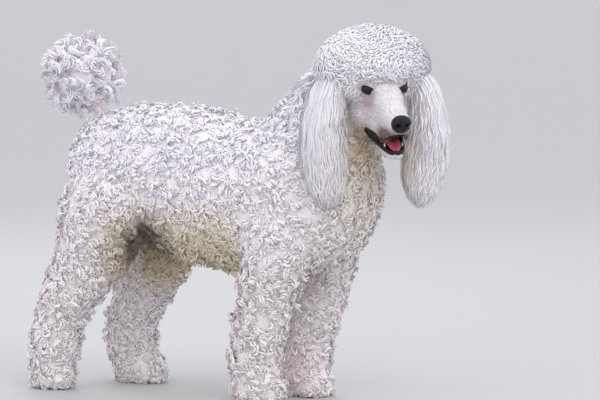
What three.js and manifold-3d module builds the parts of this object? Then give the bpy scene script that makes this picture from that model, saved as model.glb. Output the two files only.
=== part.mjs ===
// Standard poodle, standing with its head turned to its right and its mouth open: a life-size still model.
// Millimetres, +Z up. The dog faces -Y, its left side is +X, and its soles stand on z = 0.
// Widths and depths are those of the coat's tips. The flesh lies inside them by the coat's depth.
import * as THREE from "three";
import { mergeVertices } from "three/addons/utils/BufferGeometryUtils.js";
import Module from "manifold-3d";

const wasm = await Module();
wasm.setup();

// Driving dimensions
const COAT = { torso: 34, neck: 36, leg: 34 }; // coat depth from the skin to the tips
const CLUMP = { torso: 116, neck: 98, leg: 92, topknot: 88 }; // distance between clumps
const SEAM = 0.3; // gap between neighbouring pieces
const CLUMP_SIDES = 6;
const EYE_RADIUS = 12.5;
const SOCKET_RADIUS = 13.9; // of few faces, so that it clears the eyeball by a seam
const EYE_APART = 34.5; // half the distance between the eyes' centres
const HEAD_AT = [-80, -540, 654]; // midway between the eyes
const HEAD_TURN = THREE.MathUtils.degToRad(45); // to the dog's right
const HEAD_DROP = THREE.MathUtils.degToRad(12);
const HEAD_TILT = THREE.MathUtils.degToRad(2);
const POMPON = { at: [0, 222, 664], radius: 96, core: 46, curls: 20 };

// Stations of a form: centre, half width, half depth
const TORSO = [
  [[0, 224, 452], 40, 42],
  [[0, 212, 452], 76, 84],
  [[0, 180, 456], 102, 116],
  [[0, 130, 462], 113, 136],
  [[0, 70, 461], 114, 150],
  [[0, 0, 452], 110, 161],
  [[0, -80, 437], 120, 168],
  [[0, -160, 421], 130, 164],
  [[0, -240, 420], 138, 163],
  [[0, -320, 419], 136, 159],
  [[0, -390, 408], 120, 142],
  [[0, -440, 392], 88, 106],
  [[0, -462, 385], 42, 50],
];
const NECK = [
  [[0, -285, 430], 118, 150],
  [[0, -348, 520], 102, 134],
  [[-3, -396, 590], 90, 116],
  [[-10, -432, 645], 80, 92],
  [[-18, -452, 672], 60, 66],
];
const TAIL = [
  [[0, 140, 540], 17, 17],
  [[0, 176, 580], 15, 15],
  [[0, 204, 625], 14, 14],
  [[0, 216, 650], 13, 13],
];
const LEGS = {
  fore_right: {
    hind: false,
    stations: [
      [[-66, -312, 420], 30, 44],
      [[-78, -304, 385], 58, 86],
      [[-84, -288, 300], 64, 76],
      [[-78, -262, 210], 57, 64],
      [[-70, -238, 120], 54, 60],
      [[-65, -234, 55], 54, 61],
      [[-62, -240, 22], 52, 66],
      [[-62, -240, 0], 45, 58],
    ],
  },
  fore_left: {
    hind: false,
    stations: [
      [[66, -326, 420], 30, 44],
      [[78, -320, 385], 58, 86],
      [[82, -318, 300], 64, 76],
      [[74, -306, 210], 57, 64],
      [[66, -286, 120], 54, 60],
      [[61, -280, 55], 54, 61],
      [[60, -286, 22], 52, 66],
      [[60, -286, 0], 45, 58],
    ],
  },
  hind_right: {
    hind: true,
    stations: [
      [[-50, 130, 470], 30, 50],
      [[-66, 128, 430], 66, 94],
      [[-80, 128, 360], 74, 102],
      [[-88, 152, 285], 64, 86],
      [[-90, 200, 210], 54, 66],
      [[-90, 230, 145], 50, 57],
      [[-90, 240, 98], 50, 61],
      [[-88, 248, 45], 48, 54],
      [[-88, 246, 20], 48, 58],
      [[-88, 246, 0], 42, 50],
    ],
  },
  hind_left: {
    hind: true,
    stations: [
      [[50, 124, 470], 30, 50],
      [[66, 114, 430], 66, 94],
      [[82, 96, 360], 74, 102],
      [[90, 94, 285], 67, 88],
      [[92, 122, 215], 58, 70],
      [[93, 152, 150], 54, 61],
      [[93, 161, 95], 52, 62],
      [[93, 150, 45], 52, 60],
      [[93, 134, 20], 50, 68],
      [[93, 134, 0], 43, 60],
    ],
  },
};
const PAW_TOP = 66; // height where a paw is parted from its leg

// Stations of the head: distance forward of the eyes, top, bottom, half width
const SKULL = [
  [-128, 18, -20, 20],
  [-118, 30, -46, 38],
  [-92, 40, -80, 51],
  [-60, 41, -98, 56],
  [-30, 35, -104, 54],
  [-8, 23, -94, 47],
  [9, 9, -85, 39],
  [27, -1, -86, 33],
  [52, -9, -86, 29],
  [68, -15, -82, 27],
  [82, -20, -75, 25],
  [100, -26, -70, 22],
];
const JAW = [
  [-62, -72, -112, 40],
  [-30, -82, -120, 38],
  [0, -88, -125, 31],
  [30, -95, -128, 25],
  [60, -102, -128, 21],
  [78, -107, -126, 17],
  [89, -110, -121, 9],
];

const random = (() => {
  let state = 905;
  return () => {
    state = (state * 1664525 + 1013904223) % 4294967296;
    return state / 4294967296;
  };
})();
const vary = (amount) => 1 + amount * (2 * random() - 1);
const vec = (p) => (p.isVector3 ? p.clone() : new THREE.Vector3(...p));

// A closed three.js geometry as a solid
function solid(geometry) {
  const g = geometry.clone();
  g.deleteAttribute("normal");
  g.deleteAttribute("uv");
  const merged = mergeVertices(g, 1e-4);
  return new wasm.Manifold(
    new wasm.Mesh({
      numProp: 3,
      vertProperties: new Float32Array(merged.attributes.position.array),
      triVerts: new Uint32Array(merged.index.array),
    }),
  );
}

function geometryOf(piece) {
  const mesh = piece.getMesh();
  const g = new THREE.BufferGeometry();
  g.setAttribute("position", new THREE.BufferAttribute(mesh.vertProperties, 3));
  g.setIndex(new THREE.BufferAttribute(mesh.triVerts, 1));
  return g;
}

const fuse = (pieces) => wasm.Manifold.union(pieces);

// The largest closed surface of a solid, as one body
function largest(piece) {
  const bodies = piece.decompose();
  return bodies.reduce((a, b) => (b.volume() > a.volume() ? b : a));
}

// Rings of points joined into a closed skin, with a middle point at either end
function skinOf(rings, start, end) {
  const count = rings[0].length;
  const points = rings.flat();
  const faces = [];
  for (let i = 0; i + 1 < rings.length; i++)
    for (let j = 0; j < count; j++) {
      const [a, b] = [i * count + j, i * count + ((j + 1) % count)];
      faces.push(a, b, b + count, a, b + count, a + count);
    }
  const [first, last] = [points.length, points.length + 1];
  points.push(start, end);
  const base = (rings.length - 1) * count;
  for (let j = 0; j < count; j++) {
    const k = (j + 1) % count;
    faces.push(first, k, j, last, base + j, base + k);
  }
  const g = new THREE.BufferGeometry().setFromPoints(points);
  g.setIndex(faces);
  return g;
}

// A body form: oval sections along a smooth line of centres
class Form {
  constructor(stations, { side = [1, 0, 0], power = 2, coat = 0, matrix = null } = {}) {
    this.line = new THREE.CatmullRomCurve3(stations.map((s) => vec(s[0])), false, "catmullrom", 0.5);
    this.sizes = new THREE.CatmullRomCurve3(
      stations.map((s) => new THREE.Vector3(s[1], s[2], 0)),
      false,
      "catmullrom",
      0.5,
    );
    this.side = vec(side);
    this.power = power;
    this.coat = coat;
    this.matrix = matrix;
    this.length = this.line.getLength();
    this.probes = Array.from({ length: 61 }, (_, i) => this.section(i / 60));
  }

  // The section at a fraction of the form's length
  section(fraction) {
    const t = this.line.getUtoTmapping(fraction);
    const tangent = this.line.getTangent(t);
    const side = this.side.clone().addScaledVector(tangent, -this.side.dot(tangent)).normalize();
    const size = this.sizes.getPoint(t);
    const up = tangent.clone().cross(side);
    return { centre: this.line.getPoint(t), tangent, side, up, w: size.x, d: size.y };
  }

  // A point of the surface, lying inside the coat's tips by inset; past either end the form is rounded off
  point(t, angle, inset = 0) {
    const held = Math.min(1, Math.max(0, t));
    const s = this.section(held);
    const reach = (s.w + s.d) / 2;
    const most = 0.4 * reach;
    const over = Math.max(-most, Math.min(most, (t - held) * this.length));
    const shrink = Math.sqrt(1 - (over / reach) ** 2);
    const round = (v) => Math.sign(v) * Math.abs(v) ** (2 / this.power);
    return s.centre
      .addScaledVector(s.tangent, over)
      .addScaledVector(s.side, Math.max(2, s.w - inset) * shrink * round(Math.cos(angle)))
      .addScaledVector(s.up, Math.max(2, s.d - inset) * shrink * round(Math.sin(angle)));
  }

  // Angle that spans a given length round the form
  turn(t, length) {
    const { w, d } = this.section(Math.min(1, Math.max(0, t)));
    return length / ((w + d) / 2);
  }

  solid(inset, rows, sides) {
    const rings = Array.from({ length: rows + 1 }, (_, i) =>
      Array.from({ length: sides }, (_, j) => this.point(i / rows, (2 * Math.PI * j) / sides, inset)),
    );
    const g = skinOf(rings, this.line.getPoint(0), this.line.getPoint(1));
    if (this.matrix) g.applyMatrix4(this.matrix);
    return solid(g);
  }

  // Whether a point lies inside the surface that is inset from the tips
  contains(p, inset) {
    let best = null;
    for (const s of this.probes) {
      const rel = p.clone().sub(s.centre);
      const off = Math.abs(rel.dot(s.tangent));
      if (off > 12) continue;
      const [a, b] = [rel.dot(s.side) / (s.w - inset), rel.dot(s.up) / (s.d - inset)];
      const far = Math.abs(a) ** this.power + Math.abs(b) ** this.power;
      best = best === null ? far : Math.min(best, far);
    }
    return best !== null && best < 1;
  }
}

// Coat pieces

// One rounded clump of curls: a dome that follows its form, rooted near the skin and leaning along the lie
function clump(form, t, angle, radius, size) {
  const lean = radius * 0.25;
  const spin = 0.2 * (random() - 0.5);
  const levels = [
    { width: 1.4, inset: 0.72, push: 0 },
    { width: 0.66, inset: 0.14, push: 0.6 },
  ];
  const at = (along, aside, inset) =>
    form.point(t + along / form.length, angle + form.turn(t, aside), form.coat * (1 - size * (1 - inset)));
  const rings = levels.map(({ width, inset, push }) =>
    Array.from({ length: CLUMP_SIDES }, (_, j) => {
      const around = spin + (2 * Math.PI * j) / CLUMP_SIDES;
      const r = radius * width * vary(0.06);
      return at(r * Math.cos(around) + lean * push, -r * Math.sin(around), inset);
    }),
  );
  return solid(skinOf(rings, at(0, 0, 0.95), at(lean, 0, 0)));
}

// One flat tapered lock that lies on its form. Each row has a place and a half width, and its inset and
// thickness are parts of the form's half width
function lock(form, rows) {
  const rings = rows.map(({ t, angle, half, inset, thick }) => {
    const edge = form.turn(t, half);
    const deep = form.section(t).w;
    return [
      form.point(t, angle + edge, inset * deep),
      form.point(t, angle, (inset + thick / 2) * deep),
      form.point(t, angle - edge, inset * deep),
      form.point(t, angle, (inset - thick / 2) * deep),
    ];
  });
  const middle = ([a, , b]) => a.clone().add(b).multiplyScalar(0.5);
  return solid(skinOf(rings, middle(rings[0]), middle(rings[rings.length - 1])));
}

// One curl that stands free: an oval tube along a path, thinner at its tip
function curl(path, aside, width, sides = 4) {
  const line = new THREE.CatmullRomCurve3(path);
  const rows = path.length;
  const rings = Array.from({ length: rows }, (_, i) => {
    const t = i / (rows - 1);
    const tangent = line.getTangent(t);
    const across = aside.clone().addScaledVector(tangent, -aside.dot(tangent)).normalize();
    const up = tangent.clone().cross(across);
    const size = (width / 2) * (1 - 0.55 * t ** 2);
    return Array.from({ length: sides }, (_, j) => {
      const angle = (2 * Math.PI * j) / sides;
      return line
        .getPoint(t)
        .addScaledVector(across, size * Math.cos(angle))
        .addScaledVector(up, size * Math.sin(angle));
    });
  });
  return solid(skinOf(rings, line.getPoint(0), line.getPoint(1)));
}

// Even rows of places on a form, each row set off from the last by half a step
function* placesOn(form, spacing, from, to) {
  const rows = Math.max(1, Math.round((form.length * (to - from)) / (spacing * 0.87)));
  for (let k = 0; k < rows; k++) {
    const t = from + ((k + 0.5) / rows) * (to - from);
    const count = Math.max(4, Math.round((2 * Math.PI) / form.turn(t, spacing)));
    for (let j = 0; j < count; j++) {
      const angle = (2 * Math.PI * (j + (k % 2) / 2 + 0.1 * (random() - 0.5))) / count;
      yield { t: t + (0.12 * (random() - 0.5)) / rows, angle };
    }
  }
}

// Planes and regions that part the body into its nodes
const plane = (at, normal) => ({ at: vec(at), normal: vec(normal).normalize() });
const flipped = (p) => ({ at: p.at, normal: p.normal.clone().negate() });

// The side of a plane that its normal points to, starting half a seam beyond it
function halfSpace({ at, normal }, inset = SEAM / 2) {
  const size = 3000;
  const g = new THREE.BoxGeometry(size, size, size);
  g.applyQuaternion(new THREE.Quaternion().setFromUnitVectors(new THREE.Vector3(0, 0, 1), normal));
  const centre = at.clone().addScaledVector(normal, size / 2 + inset);
  g.translate(...centre);
  return solid(g);
}

const regionSolid = (planes, inset) =>
  planes.map((p) => halfSpace(p, inset)).reduce((a, b) => a.intersect(b));
const within = (p, planes) => planes.every(({ at, normal }) => p.clone().sub(at).dot(normal) > 0);

const NECK_BASE = plane([0, -318, 500], [0, -0.72, 0.69]);
const HEAD_BASE = plane([-16, -440, 604], [-0.486, -0.6, 0.637]);
const TAIL_BASE = plane([0, 172, 574], [0, 0.62, 0.78]);

function legRegion(name) {
  const left = name.endsWith("left") ? 1 : -1;
  const hind = LEGS[name].hind;
  const top = hind
    ? plane([80 * left, 120, 372], [0.42 * left, 0.12, -0.9])
    : plane([80 * left, -300, 284], [0.36 * left, 0, -0.93]);
  const inner = plane([16 * left, 0, 0], [left, 0, 0]);
  const flank = hind ? plane([0, 20, 0], [0, 1, 0]) : plane([0, -204, 0], [0, -1, 0]);
  return [top, inner, flank];
}
const LEG_REGIONS = Object.fromEntries(Object.keys(LEGS).map((name) => [name, legRegion(name)]));

// The head's own frame: x forward, y to the dog's left, z up, from midway between the eyes
function headFrame() {
  const forward = new THREE.Vector3(-Math.sin(HEAD_TURN), -Math.cos(HEAD_TURN), 0);
  const left = new THREE.Vector3(0, 0, 1).cross(forward);
  const basis = new THREE.Matrix4().makeBasis(forward, left, new THREE.Vector3(0, 0, 1));
  return new THREE.Matrix4()
    .makeTranslation(...HEAD_AT)
    .multiply(basis)
    .multiply(new THREE.Matrix4().makeRotationY(HEAD_DROP))
    .multiply(new THREE.Matrix4().makeRotationX(HEAD_TILT));
}
const HEAD = headFrame();
const headPlane = (at, normal) => ({
  at: vec(at).applyMatrix4(HEAD),
  normal: vec(normal).transformDirection(HEAD),
});

// Forms
const torso = new Form(TORSO, { coat: COAT.torso, power: 2.2 });
const neck = new Form(NECK, { coat: COAT.neck });
const tail = new Form(TAIL);
const legs = Object.fromEntries(
  Object.entries(LEGS).map(([name, { stations }]) => [
    name,
    new Form(stations, { coat: COAT.leg, power: 2.1 }),
  ]),
);
const profile = (rows) =>
  rows.map(([x, top, bottom, w]) => [[x, 0, (top + bottom) / 2], w, (top - bottom) / 2]);
const skull = new Form(profile(SKULL), { side: [0, 1, 0], power: 2.3, matrix: HEAD });
const jawForm = new Form(profile(JAW), { side: [0, 1, 0], power: 2.4, matrix: HEAD });

const group = new THREE.Group();
function addNode(name, piece, color, roughness = 0.9) {
  const material = new THREE.MeshStandardMaterial({ color, roughness });
  const mesh = new THREE.Mesh(geometryOf(largest(piece)), material);
  mesh.name = name;
  group.add(mesh);
}
const WHITE_COAT = 0xf2f0ee;

// Flesh of the body with the wool's dense lower part
const CORE_INSET = 0.62; // depth of the core's surface below the tips, as a part of the coat's depth
const bodyCore = fuse([
  torso.solid(COAT.torso * CORE_INSET, 11, 12),
  neck.solid(COAT.neck * CORE_INSET, 5, 12),
  ...Object.values(legs).map((leg) => leg.solid(COAT.leg * CORE_INSET, 10, 8)),
]);

// Ears: bushy flaps that hang straight down from the sides of the head
const EAR = [
  [[-66, 76, 706], 13, 24],
  [[-68, 88, 684], 24, 40],
  [[-72, 102, 642], 35, 53],
  [[-74, 110, 580], 42, 58],
  [[-73, 109, 520], 43, 57],
  [[-71, 103, 465], 37, 48],
  [[-70, 98, 428], 23, 31],
  [[-70, 96, 412], 8, 12],
];
const forwardLevel = new THREE.Vector3(-Math.sin(HEAD_TURN), -Math.cos(HEAD_TURN), 0);
const leftLevel = new THREE.Vector3(0, 0, 1).cross(forwardLevel);

function earForm(sign) {
  const stations = EAR.map(([[forward, out, height], thick, wide]) => [
    new THREE.Vector3(HEAD_AT[0], HEAD_AT[1], height)
      .addScaledVector(forwardLevel, forward)
      .addScaledVector(leftLevel, sign * out),
    thick,
    wide,
  ]);
  return new Form(stations, { side: leftLevel, power: 2.2 });
}
const earForms = { ear_right: earForm(-1), ear_left: earForm(1) };
const EAR_CORE_START = 0.03;
const EAR_CORE_END = 0.72; // the flap's leather and the wool on it end here
const EAR_CORE_INSET = 18;
const EAR_TIERS = [0.1, 0.34, 0.58];
const EAR_LOCKS = 5; // in each tier
const EAR_CLEAR = 3; // room kept round an ear's locks

// The hollow fold at the front of an ear's root
const EAR_CUP = { forward: -32, out: 68, height: 662, radius: [17, 8, 20] };
function earCup(sign) {
  const { forward, out, height, radius } = EAR_CUP;
  const at = new THREE.Vector3(HEAD_AT[0], HEAD_AT[1], height)
    .addScaledVector(forwardLevel, forward)
    .addScaledVector(leftLevel, sign * out);
  const g = new THREE.IcosahedronGeometry(1, 1)
    .scale(...radius)
    .rotateZ(Math.atan2(forwardLevel.y, forwardLevel.x));
  return solid(g.translate(...at));
}

function earSolid(form, sign) {
  const [rows, sides] = [5, 8];
  const rings = Array.from({ length: rows + 1 }, (_, i) => {
    const t = EAR_CORE_START + (i / rows) * (EAR_CORE_END - EAR_CORE_START);
    const inset = i === 0 ? EAR_CORE_INSET / 4 : EAR_CORE_INSET;
    return Array.from({ length: sides }, (_, j) => form.point(t, (2 * Math.PI * j) / sides, inset));
  });
  const [start, end] = [EAR_CORE_START, EAR_CORE_END].map((t) => form.section(t).centre);
  const core = solid(skinOf(rings, start, end));
  const locks = EAR_TIERS.flatMap((from, tier) =>
    Array.from({ length: EAR_LOCKS }, (_, j) => {
      const start = (2 * Math.PI * (j + tier / 2 + 0.2 * (random() - 0.5))) / EAR_LOCKS;
      const to = tier === 2 ? 0.99 : from + 0.46 * vary(0.1);
      const width = 40 * vary(0.08);
      const rows = [
        { half: 0.8, inset: 0.55, thick: 0.4 },
        { half: 1.1, inset: 0.3, thick: 0.6 },
        { half: 0.95, inset: 0.26, thick: 0.52 },
        { half: 0.5, inset: 0.18, thick: 0.34 },
      ];
      return lock(
        form,
        rows.map(({ half, inset, thick }, i) => {
          const s = i / (rows.length - 1);
          const angle = start + 0.12 * Math.sin(4 * s + tier);
          return { t: from + (to - from) * s, angle, half: half * width, inset, thick };
        }),
      );
    }),
  );
  return fuse([core, ...locks]).subtract(earCup(sign));
}

// Everything that an ear may touch is cut clear of this
const earRoom = Object.fromEntries(
  Object.entries(earForms).map(([name, form]) => [name, form.solid(-EAR_CLEAR, 12, 14)]),
);
const clearOfEars = (piece) => piece.subtract(earRoom.ear_right).subtract(earRoom.ear_left);

// Clumps of the body's coat, sorted by the node that each one's root lies in
const NODES = {
  torso: [],
  neck: [],
  head: [],
  ...Object.fromEntries(
    Object.keys(LEGS).flatMap((name) =>
      (LEGS[name].hind ? ["thigh", "shank", "paw"] : ["leg", "paw"]).map((part) => [`${name}_${part}`, []]),
    ),
  ),
};
const SHANK_TOP = {
  hind_right: plane([-88, 172, 252], [0, 0.5, -0.87]),
  hind_left: plane([90, 104, 252], [0, 0.42, -0.9]),
};
const PAW_CUT = plane([0, 0, PAW_TOP], [0, 0, -1]);
const FLOOR = plane([0, 0, 0], [0, 0, 1]);

const NAPE = headPlane([-72, 0, 0], [-1, 0, 0]); // no clumps of the neck grow forward of this

function nodeAt(p) {
  for (const name of Object.keys(LEGS)) {
    if (!within(p, LEG_REGIONS[name])) continue;
    if (within(p, [PAW_CUT])) return `${name}_paw`;
    if (!LEGS[name].hind) return `${name}_leg`;
    return within(p, [SHANK_TOP[name]]) ? `${name}_shank` : `${name}_thigh`;
  }
  if (within(p, [HEAD_BASE])) return within(p, [NAPE]) ? "head" : null;
  return within(p, [NECK_BASE]) ? "neck" : "torso";
}

const bodyForms = [torso, neck, ...Object.values(legs)];
function growCoat(form, spacing, from, to) {
  for (const { t, angle } of placesOn(form, spacing, from, to)) {
    const size = vary(0.08);
    const at = form.point(t, angle, form.coat / 2);
    const inOther = bodyForms.some((f) => f !== form && f.contains(at, f.coat * (f === torso ? 0.6 : 0.9)));
    const inEar = Object.values(earForms).some((f) => f.contains(at, -4));
    const name = nodeAt(at);
    if (inOther || inEar || name === null || at.z < 10) continue;
    NODES[name].push(clump(form, t, angle, spacing * 0.6, size));
  }
}
growCoat(torso, CLUMP.torso, -0.02, 1.02);
growCoat(neck, CLUMP.neck, 0.2, 0.95);
for (const leg of Object.values(legs)) growCoat(leg, CLUMP.leg, 0.08, 0.99);

const regionOf = {
  neck: (w) => w.intersect(halfSpace(NECK_BASE)).intersect(halfSpace(flipped(HEAD_BASE))),
  head: (w) => w.intersect(halfSpace(HEAD_BASE)),
  torso: (w) =>
    Object.values(LEG_REGIONS).reduce(
      (rest, region) => rest.subtract(regionSolid(region, -SEAM / 2)),
      w.intersect(halfSpace(flipped(NECK_BASE))).subtract(stemRoom(SEAM)),
    ),
};
function legPart(name, part) {
  const planes = [...LEG_REGIONS[name]];
  if (part === "paw") planes.push(PAW_CUT, FLOOR);
  else planes.push(flipped(PAW_CUT));
  if (part === "thigh") planes.push(flipped(SHANK_TOP[name]));
  if (part === "shank") planes.push(SHANK_TOP[name]);
  return (w) => planes.reduce((rest, p) => rest.intersect(halfSpace(p, p === FLOOR ? 0 : SEAM / 2)), w);
}

// The tail's shaved stem, from the rump to the ball of curls, grown on all sides by room
const POMPON_BASE = plane([0, 207, 630], [0, 0.36, 0.93]);
const stemRoom = (room) =>
  tail
    .solid(-room, 8, 10)
    .intersect(halfSpace(TAIL_BASE, -room))
    .intersect(halfSpace(flipped(POMPON_BASE), -room));

for (const [node, clumps] of Object.entries(NODES)) {
  if (node === "head") continue;
  const part = node.split("_").pop();
  const region = regionOf[node] ?? legPart(node.slice(0, -part.length - 1), part);
  addNode(node, clearOfEars(region(fuse([bodyCore, ...clumps]))), WHITE_COAT);
}

// Head
const MOUTH = [-12, 0, -84]; // the back of the mouth's opening
const jawCut = [headPlane(MOUTH, [1, 0, 0]), headPlane(MOUTH, [-0.13, 0, -1])];
const TOPKNOT = { at: [-82, -4, 32], radius: [92, 120, 82], coat: 42 };

// Its line runs from ear to ear, so that its ends lie at the ears
function ellipsoidForm({ at, radius, coat }) {
  const rows = 9;
  const stations = Array.from({ length: rows }, (_, i) => {
    const s = -Math.cos((Math.PI * (i + 0.35)) / (rows - 0.3));
    const r = Math.sqrt(1 - s * s);
    return [[at[0], at[1] + radius[1] * s, at[2]], radius[0] * r, radius[2] * r];
  });
  return new Form(stations, { side: [1, 0, 0], coat, matrix: HEAD });
}
const topknot = ellipsoidForm(TOPKNOT);

function topknotClumps() {
  const clumps = [];
  for (const { t, angle } of placesOn(topknot, CLUMP.topknot, -0.05, 1.05)) {
    const at = topknot.point(t, angle, topknot.coat / 2);
    if (skull.contains(at, 0) || at.z < 8) continue;
    clumps.push(inHead(clump(topknot, t, angle, CLUMP.topknot * 0.62, vary(0.1))));
  }
  return clumps;
}

const ball = (at, radius, detail = 2) =>
  solid(new THREE.IcosahedronGeometry(radius, detail).translate(...at));
const eyeAt = (sign) => [-9, sign * EYE_APART, 0];
const inHead = (piece) => piece.transform(HEAD.toArray());

// Tube along a path in the head's frame, closed at both ends
function cordOf(path, radius, steps, sides = 5) {
  const line = new THREE.CatmullRomCurve3(path.map(vec));
  const rings = Array.from({ length: steps + 1 }, (_, i) => {
    const t = i / steps;
    const tangent = line.getTangent(t);
    const across = new THREE.Vector3(0, 0, 1).cross(tangent).normalize();
    const up = tangent.clone().cross(across);
    const size = radius * Math.sqrt(Math.max(0.12, Math.sin(Math.PI * t)));
    return Array.from({ length: sides }, (_, j) => {
      const angle = (2 * Math.PI * j) / sides;
      return line
        .getPoint(t)
        .addScaledVector(across, size * Math.cos(angle))
        .addScaledVector(up, size * Math.sin(angle));
    });
  });
  return solid(skinOf(rings, line.getPoint(0), line.getPoint(1)));
}

// One lid: a rim that follows the eyeball from corner to corner
const EYE_YAW = THREE.MathUtils.degToRad(30); // how far each eye looks to its side
const LID = {
  spread: THREE.MathUtils.degToRad(58), // from the middle of the eye to a corner
  slant: THREE.MathUtils.degToRad(4), // the outer corner's lift
  upper: { arch: THREE.MathUtils.degToRad(33), radius: 4.2 },
  lower: { arch: THREE.MathUtils.degToRad(-30), radius: 3.4 },
};
function lid(sign, { arch, radius }) {
  const [x, y, z] = eyeAt(sign);
  const reach = EYE_RADIUS + 1.6;
  const path = Array.from({ length: 9 }, (_, i) => {
    const s = (i - 4) / 4;
    const yaw = sign * EYE_YAW + LID.spread * s;
    const rise = arch * (1 - s * s) + LID.slant * s * sign;
    return [
      x + reach * Math.cos(rise) * Math.cos(yaw),
      y + reach * Math.cos(rise) * Math.sin(yaw),
      z + reach * Math.sin(rise),
    ];
  });
  return inHead(cordOf(path, radius, 6));
}

const lipPath = (form, rise, from, to, sign) =>
  Array.from({ length: 6 }, (_, i) => {
    const t = from + ((to - from) * i) / 5;
    const s = form.section(t);
    return [s.centre.x, sign * (s.w - 2.5) * 0.97, s.centre.z + rise(s)];
  });

// One pointed tooth, with its root sunk in the jaw
function tooth([x, y, z], radius, height) {
  const g = new THREE.ConeGeometry(radius, Math.abs(height), 5).rotateX((Math.sign(height) * Math.PI) / 2);
  return inHead(solid(g.translate(x, y, z + height / 2)));
}

// Nose pad, with its two nostrils and the groove below them
const NOSE_CUT = headPlane([101, 0, -40], [1, 0, -0.12]);
function nosePad() {
  const form = new Form(
    [
      [[94, 0, -46], 21, 19],
      [[102, 0, -46], 21.5, 20],
      [[112, 0, -44], 19.5, 18],
      [[118, 0, -42], 13, 12],
      [[120, 0, -41], 6, 6],
    ],
    { side: [0, 1, 0], power: 2.4, matrix: HEAD },
  );
  const nostril = (sign) =>
    solid(
      new THREE.IcosahedronGeometry(1, 1)
        .scale(9, 4.6, 5.4)
        .rotateZ(sign * 0.35)
        .translate(116, sign * 9.5, -45),
    );
  const cut = [-1, 1].map((sign) => inHead(nostril(sign)));
  const groove = inHead(solid(new THREE.BoxGeometry(6, 2.4, 22).translate(120, 0, -58)));
  return form.solid(0, 5, 12).subtract(fuse([...cut, groove])).intersect(halfSpace(NOSE_CUT));
}

function headCore() {
  const brow = (sign) =>
    solid(new THREE.SphereGeometry(1, 8, 5).scale(16, 15, 9).translate(-14, sign * 30, 14));
  const flesh = fuse([
    skull.solid(0, 11, 14),
    jawForm.solid(0, 7, 10),
    topknot.solid(TOPKNOT.coat * CORE_INSET, 8, 12),
    inHead(brow(-1)),
    inHead(brow(1)),
    regionOf.head(fuse([bodyCore, ...NODES.head])),
  ]);
  const upperLip = (sign) => inHead(cordOf(lipPath(skull, (s) => -s.d + 3, 0.52, 0.99, sign), 4.5, 7));
  const canines = [-1, 1].map((sign) => tooth([87, 15.5 * sign, -64], 4, -22));
  const lids = [-1, 1].flatMap((sign) => [lid(sign, LID.upper), lid(sign, LID.lower)]);
  const sockets = [-1, 1].map((sign) => inHead(ball(eyeAt(sign), SOCKET_RADIUS, 1)));
  const open = flesh.subtract(regionSolid(jawCut, -SEAM / 2));
  return fuse([open, upperLip(-1), upperLip(1), ...canines, ...lids]).subtract(fuse(sockets));
}
const headWhole = fuse([headCore(), ...topknotClumps()])
  .intersect(halfSpace(HEAD_BASE))
  .subtract(regionSolid([NOSE_CUT, headPlane([60, 0, 0], [1, 0, 0])], -SEAM / 2));
addNode("head", clearOfEars(headWhole), WHITE_COAT);
addNode("nose", nosePad(), 0x17161a, 0.35);

for (const [side, sign] of [
  ["right", -1],
  ["left", 1],
]) {
  addNode(`ear_${side}`, earSolid(earForms[`ear_${side}`], sign), WHITE_COAT);
  addNode(`eye_${side}`, inHead(ball(eyeAt(sign), EYE_RADIUS)), 0x1a120e, 0.1);
}

// Lower jaw with its lips and teeth, and the tongue that lies in it
const tongue = new Form(
  [
    [[-16, 0, -89], 14, 4],
    [[5, 0, -92], 15, 5],
    [[35, 0, -96], 15, 6],
    [[60, 0, -101], 13.5, 6.5],
    [[76, 0, -106], 9, 4.5],
    [[82, 0, -109], 4, 2],
  ],
  { side: [0, 1, 0], matrix: HEAD },
);
const tongueSolid = tongue.solid(0, 8, 12).intersect(regionSolid(jawCut, SEAM / 2));
const lowerLip = (sign) => inHead(cordOf(lipPath(jawForm, (s) => s.d - 2, 0.28, 0.97, sign), 4, 7));
const lowerCanines = [-1, 1].map((sign) => tooth([77, 11 * sign, -113], 4, 20));
const jawSolid = fuse([
  fuse([jawForm.solid(0, 8, 12), lowerLip(-1), lowerLip(1)]).intersect(regionSolid(jawCut, SEAM / 2)),
  ...lowerCanines,
]).subtract(tongue.solid(-SEAM, 8, 12));
addNode("jaw", jawSolid, WHITE_COAT);
addNode("tongue", tongueSolid, 0xd0606c, 0.4);

// Tail: a shaved stem with a ball of long hooked curls
addNode("tail", stemRoom(0), 0xe8dcd6);

const RUMP_CLEAR = 4; // room kept between the rump's curls and the ball
function pomponSolid() {
  const centre = vec(POMPON.at);
  const golden = Math.PI * (3 - Math.sqrt(5));
  const curls = Array.from({ length: POMPON.curls }, (_, i) => {
    const z = 1 - (2 * (i + 0.5)) / POMPON.curls;
    const around = golden * i + 0.3 * (random() - 0.5);
    const level = Math.sqrt(1 - z * z);
    const out = new THREE.Vector3(level * Math.cos(around), level * Math.sin(around), z);
    const across = new THREE.Vector3(0, 0, 1).cross(out).normalize();
    const aside = across.applyAxisAngle(out, 2 * Math.PI * random());
    const reach = POMPON.radius * vary(0.05) - 8;
    const bend = [0, 0, 14, 38];
    const rise = [0.25, 0.66, 1, 0.86];
    const path = rise.map((r, k) =>
      centre.clone().addScaledVector(out, reach * r).addScaledVector(aside, bend[k]),
    );
    return curl(path, aside.clone().cross(out), 40 * vary(0.1));
  });
  const core = ball(POMPON.at, POMPON.core, 1);
  return fuse([core, ...curls]).subtract(stemRoom(SEAM)).subtract(torso.solid(-RUMP_CLEAR, 11, 12));
}
addNode("tail_pompon", pomponSolid(), WHITE_COAT);

// The origin is the middle of the model's footprint, on the floor
const box = new THREE.Box3().setFromObject(group);
group.position.set(-(box.min.x + box.max.x) / 2, -(box.min.y + box.max.y) / 2, 0);

export default group;
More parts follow.
